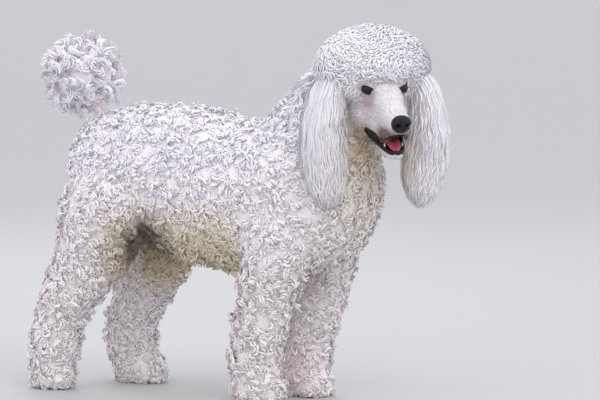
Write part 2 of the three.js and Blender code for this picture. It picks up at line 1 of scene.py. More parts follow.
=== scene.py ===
# The looks of the standard poodle: one skin, a coat of curls and locks as closed mesh, and a detailed head.
# Lengths are in millimetres in the dog's own frame, and become metres where a mesh is made.
# The dog faces -Y, its left side is +X, and its soles stand on z = 0.
import math

import bpy
import numpy as np
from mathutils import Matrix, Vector
from mathutils.bvhtree import BVHTree


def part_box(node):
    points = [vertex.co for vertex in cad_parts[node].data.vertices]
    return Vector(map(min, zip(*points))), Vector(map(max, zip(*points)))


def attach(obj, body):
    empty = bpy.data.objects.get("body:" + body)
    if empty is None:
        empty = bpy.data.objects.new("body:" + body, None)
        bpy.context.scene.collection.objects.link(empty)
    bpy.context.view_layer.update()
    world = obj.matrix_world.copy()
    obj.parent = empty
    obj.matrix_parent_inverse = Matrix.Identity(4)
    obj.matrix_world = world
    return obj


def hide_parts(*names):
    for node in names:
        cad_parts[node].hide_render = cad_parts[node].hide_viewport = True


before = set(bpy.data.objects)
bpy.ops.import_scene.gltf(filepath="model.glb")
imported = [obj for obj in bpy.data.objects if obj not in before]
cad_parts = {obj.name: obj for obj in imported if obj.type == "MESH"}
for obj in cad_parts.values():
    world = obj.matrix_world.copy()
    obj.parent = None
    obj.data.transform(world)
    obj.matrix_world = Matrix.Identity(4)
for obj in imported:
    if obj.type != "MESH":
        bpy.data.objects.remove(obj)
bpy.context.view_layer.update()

RNG = np.random.default_rng(4107)
TAU = 2 * math.pi
SIDES = {-1: "right", 1: "left"}

# Named sizes
COAT = {"torso": 34, "neck": 36, "leg": 34}  # depth of the coat on each form
CORE_INSET = 0.27  # the skin's depth below the coat's tips, as a share of the coat
EYE_RADIUS = 12.5
EYE_APART = 34.5
EYE_BACK = -9
EYE_YAW = math.radians(30)
VOXEL = {"body": 6.0, "head": 1.85}
HEAD_AT = np.array([-80.0, -540.0, 654.0])
HEAD_TURN = math.radians(45)
HEAD_DROP = math.radians(12)
HEAD_TILT = math.radians(2)
POMPON = {"at": (0, 222, 664), "radius": 96, "core": 64}
TOPKNOT = {"at": (-82, -4, 32), "radius": (92, 120, 82)}
KNOT_INSET = 5.5  # the skin below the tips of the topknot

# Stations of each form: x, y, z, half width, half depth
TORSO = [
    (0, 224, 452, 40, 42), (0, 212, 452, 76, 84), (0, 180, 456, 102, 116),
    (0, 130, 462, 113, 136), (0, 70, 461, 114, 150), (0, 0, 452, 110, 161),
    (0, -80, 437, 120, 168), (0, -160, 421, 130, 164), (0, -240, 420, 138, 163),
    (0, -320, 419, 136, 159), (0, -390, 408, 120, 142), (0, -440, 392, 88, 106),
    (0, -462, 385, 42, 50),
]
NECK = [
    (0, -285, 430, 118, 150), (0, -348, 520, 102, 134), (-3, -396, 590, 90, 116),
    (-10, -432, 645, 80, 92), (-18, -452, 672, 60, 66),
]
TAIL = [
    (0, 140, 540, 17, 17), (0, 176, 580, 15, 15), (0, 204, 625, 14, 14), (0, 216, 650, 13, 13),
]
LEGS = {
    "fore_right": [
        (-66, -312, 420, 30, 44), (-78, -304, 385, 58, 86), (-84, -288, 300, 64, 76),
        (-78, -262, 210, 57, 64), (-70, -238, 120, 54, 60), (-65, -234, 55, 54, 61),
        (-62, -240, 22, 52, 66), (-62, -240, 0, 45, 58),
    ],
    "fore_left": [
        (66, -326, 420, 30, 44), (78, -320, 385, 58, 86), (82, -318, 300, 64, 76),
        (74, -306, 210, 57, 64), (66, -286, 120, 54, 60), (61, -280, 55, 54, 61),
        (60, -286, 22, 52, 66), (60, -286, 0, 45, 58),
    ],
    "hind_right": [
        (-50, 130, 470, 30, 50), (-66, 128, 430, 66, 94), (-80, 128, 360, 74, 102),
        (-88, 152, 285, 64, 86), (-90, 200, 210, 54, 66), (-90, 230, 145, 50, 57),
        (-90, 240, 98, 50, 61), (-88, 248, 45, 48, 54), (-88, 246, 20, 48, 58),
        (-88, 246, 0, 42, 50),
    ],
    "hind_left": [
        (50, 124, 470, 30, 50), (66, 114, 430, 66, 94), (82, 96, 360, 74, 102),
        (90, 94, 285, 67, 88), (92, 122, 215, 58, 70), (93, 152, 150, 54, 61),
        (93, 161, 95, 52, 62), (93, 150, 45, 52, 60), (93, 134, 20, 50, 68),
        (93, 134, 0, 43, 60),
    ],
}
# Stations of the head: distance forward of the eyes, top, bottom, half width
SKULL = [
    (-128, 18, -20, 20), (-118, 30, -46, 38), (-92, 40, -80, 51), (-60, 41, -98, 56),
    (-30, 35, -104, 54), (-8, 23, -94, 47), (9, 9, -85, 39), (27, -1, -86, 33), (52, -9, -86, 29),
    (68, -15, -82, 27), (82, -20, -75, 25), (100, -26, -70, 22),
]
JAW = [
    (-62, -72, -112, 40), (-30, -82, -120, 38), (0, -88, -125, 31), (30, -95, -128, 25),
    (60, -102, -128, 21), (78, -107, -126, 17), (89, -110, -121, 9),
]
# The lips' edges from the corner of the mouth to the middle: forward, aside, up
LOWER_LIP = [
    (-16, 37, -87), (4, 34, -93), (28, 28, -99), (52, 23, -104), (70, 18, -107), (82, 12, -109),
    (88, 5, -109), (89.5, 0, -108.5),
]
UPPER_LIP = [
    (-16, 37, -84), (8, 36, -82.5), (35, 31, -84), (56, 27.5, -87.5), (74, 23.5, -84), (90, 17, -75),
    (101, 8, -70), (103, 0, -69),
]
# Stations of an ear: forward, aside, up, half thickness, half width
EAR = [
    (-66, 76, 706, 13, 24), (-68, 88, 684, 24, 40), (-72, 102, 642, 35, 53),
    (-74, 110, 580, 42, 58), (-73, 109, 520, 43, 57), (-71, 103, 465, 37, 48),
    (-70, 98, 428, 23, 31), (-70, 96, 412, 8, 12),
]


# Vector helpers on arrays whose last axis is x, y, z
def unit(v):
    return v / np.maximum(np.linalg.norm(v, axis=-1, keepdims=True), 1e-9)


def dot(a, b):
    return np.sum(a * b, axis=-1, keepdims=True)


def smooth(low, high, x):
    s = np.clip((x - low) / (high - low), 0, 1)
    return s * s * (3 - 2 * s)


def mix(a, b, s):
    return a + (b - a) * s


def powered(v, power):
    return np.sign(v) * np.abs(v) ** power


def circle(count):
    return np.linspace(0, TAU, count, endpoint=False)


def turned(first, second, angle):
    """The ways at an angle from first towards second."""
    return first * np.cos(angle)[:, None] + second * np.sin(angle)[:, None]


def vary(low, span, *shape):
    """Random values from low to low + span."""
    return low + span * RNG.random(shape)


# The head's own frame: x forward, y to the dog's left, z up, from midway between the eyes
FORWARD = np.array([-math.sin(HEAD_TURN), -math.cos(HEAD_TURN), 0.0])
LEFT = np.cross([0.0, 0.0, 1.0], FORWARD)


def head_matrix():
    c, s = math.cos(HEAD_DROP), math.sin(HEAD_DROP)
    drop = np.array([[c, 0, s], [0, 1, 0], [-s, 0, c]])
    c, s = math.cos(HEAD_TILT), math.sin(HEAD_TILT)
    tilt = np.array([[1, 0, 0], [0, c, -s], [0, s, c]])
    basis = np.column_stack([FORWARD, LEFT, [0.0, 0.0, 1.0]])
    return basis @ drop @ tilt


HEAD = head_matrix()


def from_head(p):
    return np.asarray(p, float) @ HEAD.T + HEAD_AT


def to_head(p):
    return (np.asarray(p, float) - HEAD_AT) @ HEAD


EYES = {sign: np.array([EYE_BACK, sign * EYE_APART, 0.0]) for sign in SIDES}  # in the head's frame


def box_centre(node):
    low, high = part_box(node)
    return (np.array(low) + np.array(high)) * 500


# The frame's origin is the middle of the footprint, so the eyes give the shift from the dog's own frame
SHIFT = (box_centre("eye_right") + box_centre("eye_left")) / 2 - from_head([EYE_BACK, 0, 0])
SHIFT[2] = 0


# Body forms
def catmull(points, t):
    p = np.vstack([2 * points[0] - points[1], points, 2 * points[-1] - points[-2]])
    x = np.clip(t, 0, 1) * (len(points) - 1)
    i = np.minimum(x.astype(int), len(points) - 2)
    f = (x - i)[:, None]
    a, b, c, d = p[i], p[i + 1], p[i + 2], p[i + 3]
    square, cube = a - 2.5 * b + 2 * c - d / 2, -a / 2 + 1.5 * b - 1.5 * c + d / 2
    return b + f * (c - a) / 2 + f**2 * square + f**3 * cube


class Form:
    """Oval sections along a smooth line, with the place along it as a part of its length."""

    def __init__(self, name, stations, side=(1, 0, 0), power=2.0, coat=0.0, in_head=False):
        self.name, self.power, self.coat = name, power, coat
        rows = np.array(stations, float)
        centres, sizes = rows[:, :3], rows[:, 3:]
        t = np.linspace(0, 1, 800)
        line = catmull(centres, t)
        steps = np.linalg.norm(np.diff(line, axis=0), axis=1)
        self.length = steps.sum()
        along = np.concatenate([[0], np.cumsum(steps)]) / self.length
        self.u = np.linspace(0, 1, 161)
        at = np.interp(self.u, along, t)
        self.centre = catmull(centres, at)
        self.size = catmull(sizes, at)
        self.tangent = unit(np.gradient(self.centre, axis=0))
        aim = np.array(side, float)
        self.side = unit(aim - self.tangent * (self.tangent @ aim)[:, None])
        self.up = np.cross(self.tangent, self.side)
        if in_head:
            self.centre = from_head(self.centre)
            self.tangent, self.side, self.up = (v @ HEAD.T for v in (self.tangent, self.side, self.up))

    def pick(self, table, u):
        held = np.clip(u, 0, 1)
        return np.stack([np.interp(held, self.u, table[:, k]) for k in range(table.shape[1])], axis=-1)

    def point(self, u, angle, inset=0.0):
        """Points of the surface, inside the coat's tips by inset; past either end the form is rounded off."""
        u, angle, inset = np.broadcast_arrays(np.asarray(u, float), angle, inset)
        size = self.pick(self.size, u)
        reach = size.mean(axis=-1)
        over = np.clip((u - np.clip(u, 0, 1)) * self.length, -0.8 * reach, 0.8 * reach)
        shrink = np.sqrt(1 - (over / reach) ** 2)
        w = np.maximum(2, size[..., 0] - inset) * shrink * powered(np.cos(angle), 2 / self.power)
        d = np.maximum(2, size[..., 1] - inset) * shrink * powered(np.sin(angle), 2 / self.power)
        out = self.pick(self.centre, u) + self.pick(self.tangent, u) * over[..., None]
        return out + self.pick(self.side, u) * w[..., None] + self.pick(self.up, u) * d[..., None]

    def locate(self, p):
        """Place, angle and distance from the line as a part of the section's reach, for many points."""
        place, far = np.zeros(len(p)), np.zeros(len(p))
        for i in range(0, len(p), 4000):
            gap = np.linalg.norm(p[i : i + 4000, None] - self.centre[None], axis=2)
            k = gap.argmin(axis=1)
            place[i : i + 4000] = self.u[k]
            far[i : i + 4000] = gap[np.arange(len(k)), k] / self.size[k].mean(axis=1)
        rel = p - self.pick(self.centre, place)
        across = dot(rel, self.pick(self.side, place))[:, 0]
        upward = dot(rel, self.pick(self.up, place))[:, 0]
        return place, np.arctan2(upward, across), far

    def rings(self, inset, rows, sides, start=0.0, end=1.0):
        return self.point(np.linspace(start, end, rows + 1)[:, None], circle(sides)[None], inset)


def profile(rows):
    return [(x, 0, (top + bottom) / 2, w, (top - bottom) / 2) for x, top, bottom, w in rows]


torso = Form("torso", TORSO, power=2.2, coat=COAT["torso"])
neck = Form("neck", NECK, coat=COAT["neck"])
tail = Form("tail", TAIL)
legs = {name: Form(name, rows, power=2.1, coat=COAT["leg"]) for name, rows in LEGS.items()}
skull = Form("skull", profile(SKULL), side=(0, 1, 0), power=2.3, in_head=True)
jaw = Form("jaw", profile(JAW), side=(0, 1, 0), power=2.4, in_head=True)


def ear_form(name, sign):
    level = np.array([HEAD_AT[0], HEAD_AT[1], 0.0])
    stations = [
        (*(level + FORWARD * forward + LEFT * sign * out + [0, 0, height]), thick, wide)
        for forward, out, height, thick, wide in EAR
    ]
    return Form(name, stations, side=LEFT, power=2.2)


ears = {f"ear_{side}": ear_form(f"ear_{side}", sign) for sign, side in SIDES.items()}


# Meshes
def piece_mesh(name, verts, faces, material):
    """A mesh object from points in millimetres and lists of faces."""
    mesh = bpy.data.meshes.new(name)
    mesh.from_pydata(((np.asarray(verts) + SHIFT) * 0.001).tolist(), [], faces)
    mesh.update()
    mesh.shade_smooth()
    mesh.materials.append(material)
    thing = bpy.data.objects.new(name, mesh)
    bpy.context.scene.collection.objects.link(thing)
    return thing


def closed_rings(rings):
    """Points and faces of a closed skin over rings of points, with a middle point at either end."""
    rows, sides = rings.shape[:2]
    verts = np.vstack([rings.reshape(-1, 3), rings[0].mean(axis=0), rings[-1].mean(axis=0)])
    first, last = rows * sides, rows * sides + 1
    faces = []
    for j in range(sides):
        k = (j + 1) % sides
        for i in range(rows - 1):
            faces.append((i * sides + j, i * sides + k, (i + 1) * sides + k, (i + 1) * sides + j))
        faces += [(first, k, j), (last, (rows - 1) * sides + j, (rows - 1) * sides + k)]
    return verts, faces


def joined(parts):
    verts, faces, start = [], [], 0
    for points, polygons in parts:
        verts.append(points)
        faces += [tuple(v + start for v in polygon) for polygon in polygons]
        start += len(points)
    return np.vstack(verts), faces


def ellipsoid(at, radius, in_head=True):
    u = np.linspace(0.04, math.pi - 0.04, 24)[:, None]
    v = circle(32)[None]
    shape = np.stack([np.sin(u) * np.cos(v), np.sin(u) * np.sin(v), np.cos(u) * np.ones_like(v)], axis=-1)
    points = shape * np.array(radius, float) + np.array(at, float)
    return closed_rings(from_head(points) if in_head else points)


class Surface:
    """A skin's points, normals and triangles, with random roots over it."""

    def __init__(self, verts, faces):
        self.verts, self.faces = verts, faces
        halves = [((f[0], f[1], f[2]), (f[0], f[2], f[-1]))[: len(f) - 2] for f in faces]
        self.tris = np.array([t for pair in halves for t in pair])
        self.refresh()

    def refresh(self):
        a, b, c = (self.verts[self.tris[:, k]] for k in range(3))
        cross = np.cross(b - a, c - a)
        self.area = np.linalg.norm(cross, axis=1) / 2
        normals = np.zeros_like(self.verts)
        for k in range(3):
            np.add.at(normals, self.tris[:, k], cross)
        self.normals = unit(normals)

    def relax(self, times):
        edges = np.vstack([self.tris[:, ends] for ends in ([0, 1], [1, 2], [2, 0])])
        pairs = np.unique(np.sort(edges), axis=0)
        count = np.bincount(pairs.ravel(), minlength=len(self.verts))[:, None]
        for _ in range(times):
            total = np.zeros_like(self.verts)
            np.add.at(total, pairs[:, 0], self.verts[pairs[:, 1]])
            np.add.at(total, pairs[:, 1], self.verts[pairs[:, 0]])
            self.verts = mix(self.verts, total / count, 0.5)
        self.refresh()

    def scatter(self, spacing, keep):
        """Roots at least spacing apart, at places that keep(points) allows."""
        tries = int(self.area.sum() / spacing**2 * 2.6)
        tri = RNG.choice(len(self.tris), tries, p=self.area / self.area.sum())
        r = np.sqrt(RNG.random(tries))
        s = RNG.random(tries)
        weights = np.stack([1 - r, r * (1 - s), r * s], axis=1)[:, :, None]
        points = (self.verts[self.tris[tri]] * weights).sum(axis=1)
        normals = unit((self.normals[self.tris[tri]] * weights).sum(axis=1))
        ok = keep(points)
        points, normals = points[ok], normals[ok]
        chosen = spread(points, spacing * 0.8)
        return points[chosen], normals[chosen]


def spread(points, distance):
    """Indices of points that lie at least distance from each other, taken in turn."""
    cells, chosen = {}, []
    near = [(i, j, k) for i in (-1, 0, 1) for j in (-1, 0, 1) for k in (-1, 0, 1)]
    rows = points.tolist()
    for n, (a, b, c) in enumerate(np.floor(points / distance).astype(int).tolist()):
        held = (rows[m] for i, j, k in near for m in cells.get((a + i, b + j, c + k), ()))
        if not any(sum((u - v) ** 2 for u, v in zip(rows[n], q)) < distance**2 for q in held):
            cells.setdefault((a, b, c), []).append(n)
            chosen.append(n)
    return np.array(chosen, int)


def remeshed(parts, voxel):
    """Closed parts fused into one even skin, as points in millimetres and faces."""
    verts, faces = joined(parts)
    mesh = bpy.data.meshes.new("fusing")
    mesh.from_pydata((verts * 0.001).tolist(), [], faces)
    thing = bpy.data.objects.new("fusing", mesh)
    bpy.context.scene.collection.objects.link(thing)
    step = thing.modifiers.new("fuse", "REMESH")
    step.mode = "VOXEL"
    step.voxel_size = voxel * 0.001
    evaluated = thing.evaluated_get(bpy.context.evaluated_depsgraph_get())
    out = bpy.data.meshes.new_from_object(evaluated)
    points = np.zeros(len(out.vertices) * 3)
    out.vertices.foreach_get("co", points)
    polygons = [tuple(p.vertices) for p in out.polygons]
    bpy.data.objects.remove(thing)
    bpy.data.meshes.remove(mesh)
    bpy.data.meshes.remove(out)
    return points.reshape(-1, 3) * 1000, polygons


# Colours, markings and painted shade, shared by skin and coat
WHITE = np.array([0.955, 0.935, 0.98])
WARM_PAINTED_SHADE = np.array([0.93, 0.885, 0.885])
CREAM = np.array([0.74, 0.65, 0.43])
OLIVE = np.array([0.70, 0.50, 0.22])
STAIN = np.array([0.13, 0.045, 0.012])
TAWNY = np.array([0.45, 0.29, 0.13])
PINK = np.array([0.90, 0.62, 0.66])
GROIN_PAINTED_SHADOW = np.array([0.07, 0.035, 0.008])
SKIN_PINK = np.array([0.72, 0.50, 0.47])
GREY = np.array([0.36, 0.34, 0.37])
UNDER_EYE_PAINTED_SHADE = np.array([0.50, 0.39, 0.47])
MOUTH_PAINTED_SHADE = np.array([0.05, 0.012, 0.016])
LID_DARK = np.array([0.03, 0.022, 0.024])
FACE_PAINTED_SHADE = np.zeros(3)


def blob(p, at, radius):
    return np.exp(-np.sum(((p - np.array(at, float)) / np.array(radius, float)) ** 2, axis=1))[:, None]


def markings_and_shade(p):
    """The coat's colour at points in the dog's own frame: real markings, with painted shade and painted
    reflected light mixed in.
    """
    h = to_head(p)
    back, height = p[:, 1:2], p[:, 2:3]
    belly = (1 - smooth(300, 440, height)) * smooth(-250, -180, back) * (1 - smooth(60, 130, back))
    face = smooth(-30, 0, h[:, 0:1]) * (h[:, 2:3] < 30) * (h[:, 2:3] > -140) * (np.abs(h[:, 1:2]) < 60)
    chin = blob(h, (8, 30, -103), (24, 16, 10)) + blob(h, (8, -30, -103), (24, 16, 10))
    marks_and_shades = [
        # painted shade and warm reflected light: the coat turns darker and warmer towards the floor
        (WARM_PAINTED_SHADE, 0.8 * (1 - smooth(250, 560, height))),
        # painted shade and warm reflected light under the belly
        (CREAM, 0.85 * belly * smooth(180, 260, height)),
        (CREAM, 0.5 * blob(p, (-40, -470, 470), (90, 80, 130))),
        (OLIVE, blob(h, (-48, 0, -122), (72, 56, 50))),
        # painted shadow in the groin, between the thigh and the belly
        (GROIN_PAINTED_SHADOW, np.clip(1.8 * blob(p, (-45, 30, 318), (78, 50, 46)), 0, 0.97)),
        (STAIN, 0.9 * chin),
    ]
    for sign in SIDES:
        marks_and_shades.append((STAIN, np.clip(1.4 * blob(h, (76, 24 * sign, -73), (30, 18, 16)), 0, 0.9)))
        # painted shade under each eye, lavender-grey
        under_eye_shade = blob(h, (4, 40 * sign, -22), (20, 14, 16)) + blob(h, (12, 30 * sign, -12), (8, 6, 12))
        marks_and_shades.append((UNDER_EYE_PAINTED_SHADE, np.clip(1.1 * under_eye_shade, 0, 0.85)))
    marks_and_shades += [
        (STAIN, 0.8 * blob(h, (98, 0, -68), (14, 22, 8))),
        # painted shade: the face is darkened by up to a fifth
        (FACE_PAINTED_SHADE, 0.2 * face),
        (TAWNY, 0.35 * blob(p, (10, -330, 280), (40, 70, 60))),
        # painted shadow between the hind legs, running on from the groin
        (TAWNY, 0.8 * blob(p, (10, 70, 285), (70, 50, 50))),
        (PINK, 0.4 * blob(p, (30, -270, 60), (45, 50, 55))),
        (PINK, 0.35 * blob(h, (-70, -84, 26), (14, 16, 20))),
    ]
    colour = np.tile(WHITE, (len(p), 1))
    for shade, share in marks_and_shades:
        colour = mix(colour, shade, share)
    return colour


# Materials
def node_material(name, roughness, build, **fixed):
    material = bpy.data.materials.new(name)
    material.use_nodes = True
    nodes, links = material.node_tree.nodes, material.node_tree.links
    shader = nodes["Principled BSDF"]
    shader.inputs["Roughness"].default_value = roughness
    for socket, value in fixed.items():
        shader.inputs[socket.replace("_", " ")].default_value = value
    build(nodes, links, shader)
    return material


def add(nodes, kind, **settings):
    node = nodes.new(kind)
    for key, value in settings.items():
        if hasattr(node, key):
            setattr(node, key, value)
        else:
            node.inputs[key.replace("_", " ")].default_value = value
    return node


def relief(nodes, links, shader, height, strength, distance):
    """Bump on a shader from a height's socket."""
    bump = add(nodes, "ShaderNodeBump", Strength=strength, Distance=distance)
    links.new(height, bump.inputs["Height"])
    links.new(bump.outputs["Normal"], shader.inputs["Normal"])


def tinted(nodes, links, shader, scale, low, high):
    """Base colour from the mesh's tint, varied by noise between two shades."""
    tint = add(nodes, "ShaderNodeAttribute", attribute_name="tint")
    noise = add(nodes, "ShaderNodeTexNoise", Scale=scale, Detail=4.0)
    ramp = add(nodes, "ShaderNodeMapRange", From_Min=0.3, From_Max=0.7, To_Min=low, To_Max=high)
    mixing = add(nodes, "ShaderNodeMix", data_type="RGBA", blend_type="MULTIPLY", Factor=1.0)
    links.new(noise.outputs["Fac"], ramp.inputs["Value"])
    links.new(tint.outputs["Color"], mixing.inputs["A"])
    links.new(ramp.outputs["Result"], mixing.inputs["B"])
    links.new(mixing.outputs["Result"], shader.inputs["Base Color"])


def coat_nodes(nodes, links, shader):
    tinted(nodes, links, shader, 220.0, 0.96, 1.04)
    strand = add(nodes, "ShaderNodeAttribute", attribute_name="strand")
    stretch = add(nodes, "ShaderNodeMapping", Scale=(4.5, 0.9, 1.0))
    lines = add(nodes, "ShaderNodeTexNoise", Scale=1.0, Detail=2.0)
    links.new(strand.outputs["Vector"], stretch.inputs["Vector"])
    links.new(stretch.outputs["Vector"], lines.inputs["Vector"])
    relief(nodes, links, shader, lines.outputs["Fac"], 0.12, 0.0004)


def skin_nodes(nodes, links, shader):
    tinted(nodes, links, shader, 90.0, 0.92, 1.04)
    pores = add(nodes, "ShaderNodeTexNoise", Scale=900.0, Detail=3.0)
    relief(nodes, links, shader, pores.outputs["Fac"], 0.35, 0.0006)


def wet_nodes(colour_low, colour_high, scale, strength, cells=False):
    def build(nodes, links, shader):
        texture = add(nodes, "ShaderNodeTexVoronoi" if cells else "ShaderNodeTexNoise", Scale=scale)
        shades = add(nodes, "ShaderNodeMix", data_type="RGBA", A=(*colour_low, 1), B=(*colour_high, 1))
        value = texture.outputs["Distance" if cells else "Fac"]
        links.new(value, shades.inputs["Factor"])
        links.new(shades.outputs["Result"], shader.inputs["Base Color"])
        relief(nodes, links, shader, value, strength, 0.0008)

    return build


def eye_nodes(nodes, links, shader):
    tinted(nodes, links, shader, 1400.0, 0.7, 1.3)


# The coat's faint emission stands in for the light that white hairs scatter to each other
coat_material = node_material(
    "coat",
    0.8,
    coat_nodes,
    Specular_IOR_Level=0.05,
    Sheen_Weight=0.05,
    Emission_Color=(1.0, 0.97, 1.0, 1.0),
    Emission_Strength=0.05,
)
skin_material = node_material("skin", 0.7, skin_nodes, Specular_IOR_Level=0.3)
eye_material = node_material(
    "eye", 0.12, eye_nodes, Specular_IOR_Level=0.3, Coat_Weight=0.25, Coat_Roughness=0.03
)
# Wet parts: roughness, darkest and lightest colour, scale and depth of the relief, other values
WET = {
    "nose_leather": (
        0.3, (0.004, 0.004, 0.007), (0.018, 0.017, 0.026), 900.0, 0.6, {"Specular_IOR_Level": 0.25}
    ),
    "lip": (0.34, (0.004, 0.002, 0.003), (0.012, 0.006, 0.008), 300.0, 0.4, {"Specular_IOR_Level": 0.3}),
    "tongue": (0.36, (0.50, 0.06, 0.11), (0.66, 0.16, 0.22), 420.0, 0.6, {"Coat_Weight": 0.15}),
    "tooth": (0.3, (0.80, 0.74, 0.60), (0.90, 0.87, 0.78), 120.0, 0.15, {"Coat_Weight": 0.3}),
}
wet = {
    name: node_material(name, rough, wet_nodes(low, high, scale, depth, name == "nose_leather"), **rest)
    for name, (rough, low, high, scale, depth, rest) in WET.items()
}


def paint(thing, colours):
    layer = thing.data.color_attributes.new("tint", "FLOAT_COLOR", "POINT")
    rgba = np.concatenate([np.clip(colours, 0, 1), np.ones((len(colours), 1))], axis=1)
    layer.data.foreach_set("color", rgba.astype(np.float32).ravel())


# The skin of the body, and that of the head, which is finer
def body_surface():
    core = {f.name: f.rings(f.coat * CORE_INSET, 60, 40) for f in [torso, neck, *legs.values()]}
    for name in legs:
        core[name][..., 2] = np.maximum(core[name][..., 2], 1.0)
    parts = [closed_rings(rings) for rings in core.values()]
    parts.append(closed_rings(tail.rings(1.5, 24, 20)))
    parts.append(ellipsoid(POMPON["at"], [POMPON["core"]] * 3, in_head=False))
    surface = Surface(*remeshed(parts, VOXEL["body"]))
    surface.relax(6)
    return surface


def hollow(rings, form_side, depth, share, from_row, to_row):
    """Rings with one side pressed in between the lips: a palate or the floor of the mouth."""
    out = rings.copy()
    rows, sides = rings.shape[:2]
    angle = circle(sides)[None]
    facing = np.maximum(0, np.sin(angle) * form_side)
    inside = np.clip(1 - (np.cos(angle) / share) ** 2, 0, 1) * facing
    u = np.linspace(0, 1, rows)[:, None]
    press = depth * inside * smooth(from_row, from_row + 0.12, u) * (1 - smooth(to_row, to_row + 0.06, u))
    out -= press[..., None] * form_side * HEAD[:, 2]
    return out


def head_surface():
    upper = hollow(skull.rings(1.5, 90, 72), -1, 9, 0.8, 0.5, 0.93)
    lower = hollow(jaw.rings(1.5, 60, 56), 1, 8, 0.85, 0.34, 0.9)
    knot = [r - KNOT_INSET for r in TOPKNOT["radius"]]
    parts = [
        closed_rings(upper),
        closed_rings(lower),
        ellipsoid(TOPKNOT["at"], knot),
        *(ellipsoid((-14, aside, 13), (17, 15, 9)) for aside in (30, -30)),
        *(ellipsoid((-40, aside, -56), (34, 18, 30)) for aside in (37, -37)),
        *lip_roots(),
    ]
    surface = Surface(*remeshed(parts, VOXEL["head"]))
    surface.relax(5)
    shape_face(surface)
    return surface


def shape_face(surface):
    """Moves of the head's skin: eye sockets, hollow cheeks, full lips and the muzzle's groove."""
    h = to_head(surface.verts)
    for sign in SIDES:
        away = h - EYES[sign]
        gap = np.linalg.norm(away, axis=1, keepdims=True)
        outside = away / np.maximum(gap, 1e-6)
        # the skin is drawn back to a little behind the eyeball's front, and forms a shallow bowl
        pull = (1 - smooth(14, 27, gap)) * 4.0
        front = smooth(-0.2, 0.4, outside @ np.array([[0.7], [0.7 * sign], [0.1]]))
        h = h - pull * np.array([0.62, 0.78 * sign, 0.0]) * front
        cheek = blob(h, (22, sign * 34, -38), (22, 14, 16))
        h = h - cheek * np.array([0, 2.5 * sign, 0])
        lip = blob(h, (70, sign * 26, -62), (34, 10, 12))
        h = h + lip * np.array([0, 3.0 * sign, -0.5])
    groove = blob(h, (40, 0, 2), (40, 7, 14))
    h = h - groove * np.array([0, 0, 1.6])
    surface.verts = from_head(h)
    surface.refresh()


# Coat: closed tapered locks, three-sided, each with its root in the skin
RING_CORNERS = np.array([[-1.0, -0.4], [1.0, -0.4], [0.0, 0.8]])
OFBAKE_PATCH = 0.003
SOFTNESS = 0.22
ROOT_PAINTED_SHADE = 0.95  # painted shade at the root: its colour as a share of that at the tip
# A lock's thickness as a share of its width, and the least distance between roots
FLATNESS = {"curls": 0.24, "topknot": 0.2, "face": 0.3, "ears": 0.14, "pompon": 0.28, "tail": 0.4}
SPACING = {"curls": 10.9, "topknot": 3.85, "face": 3.1}


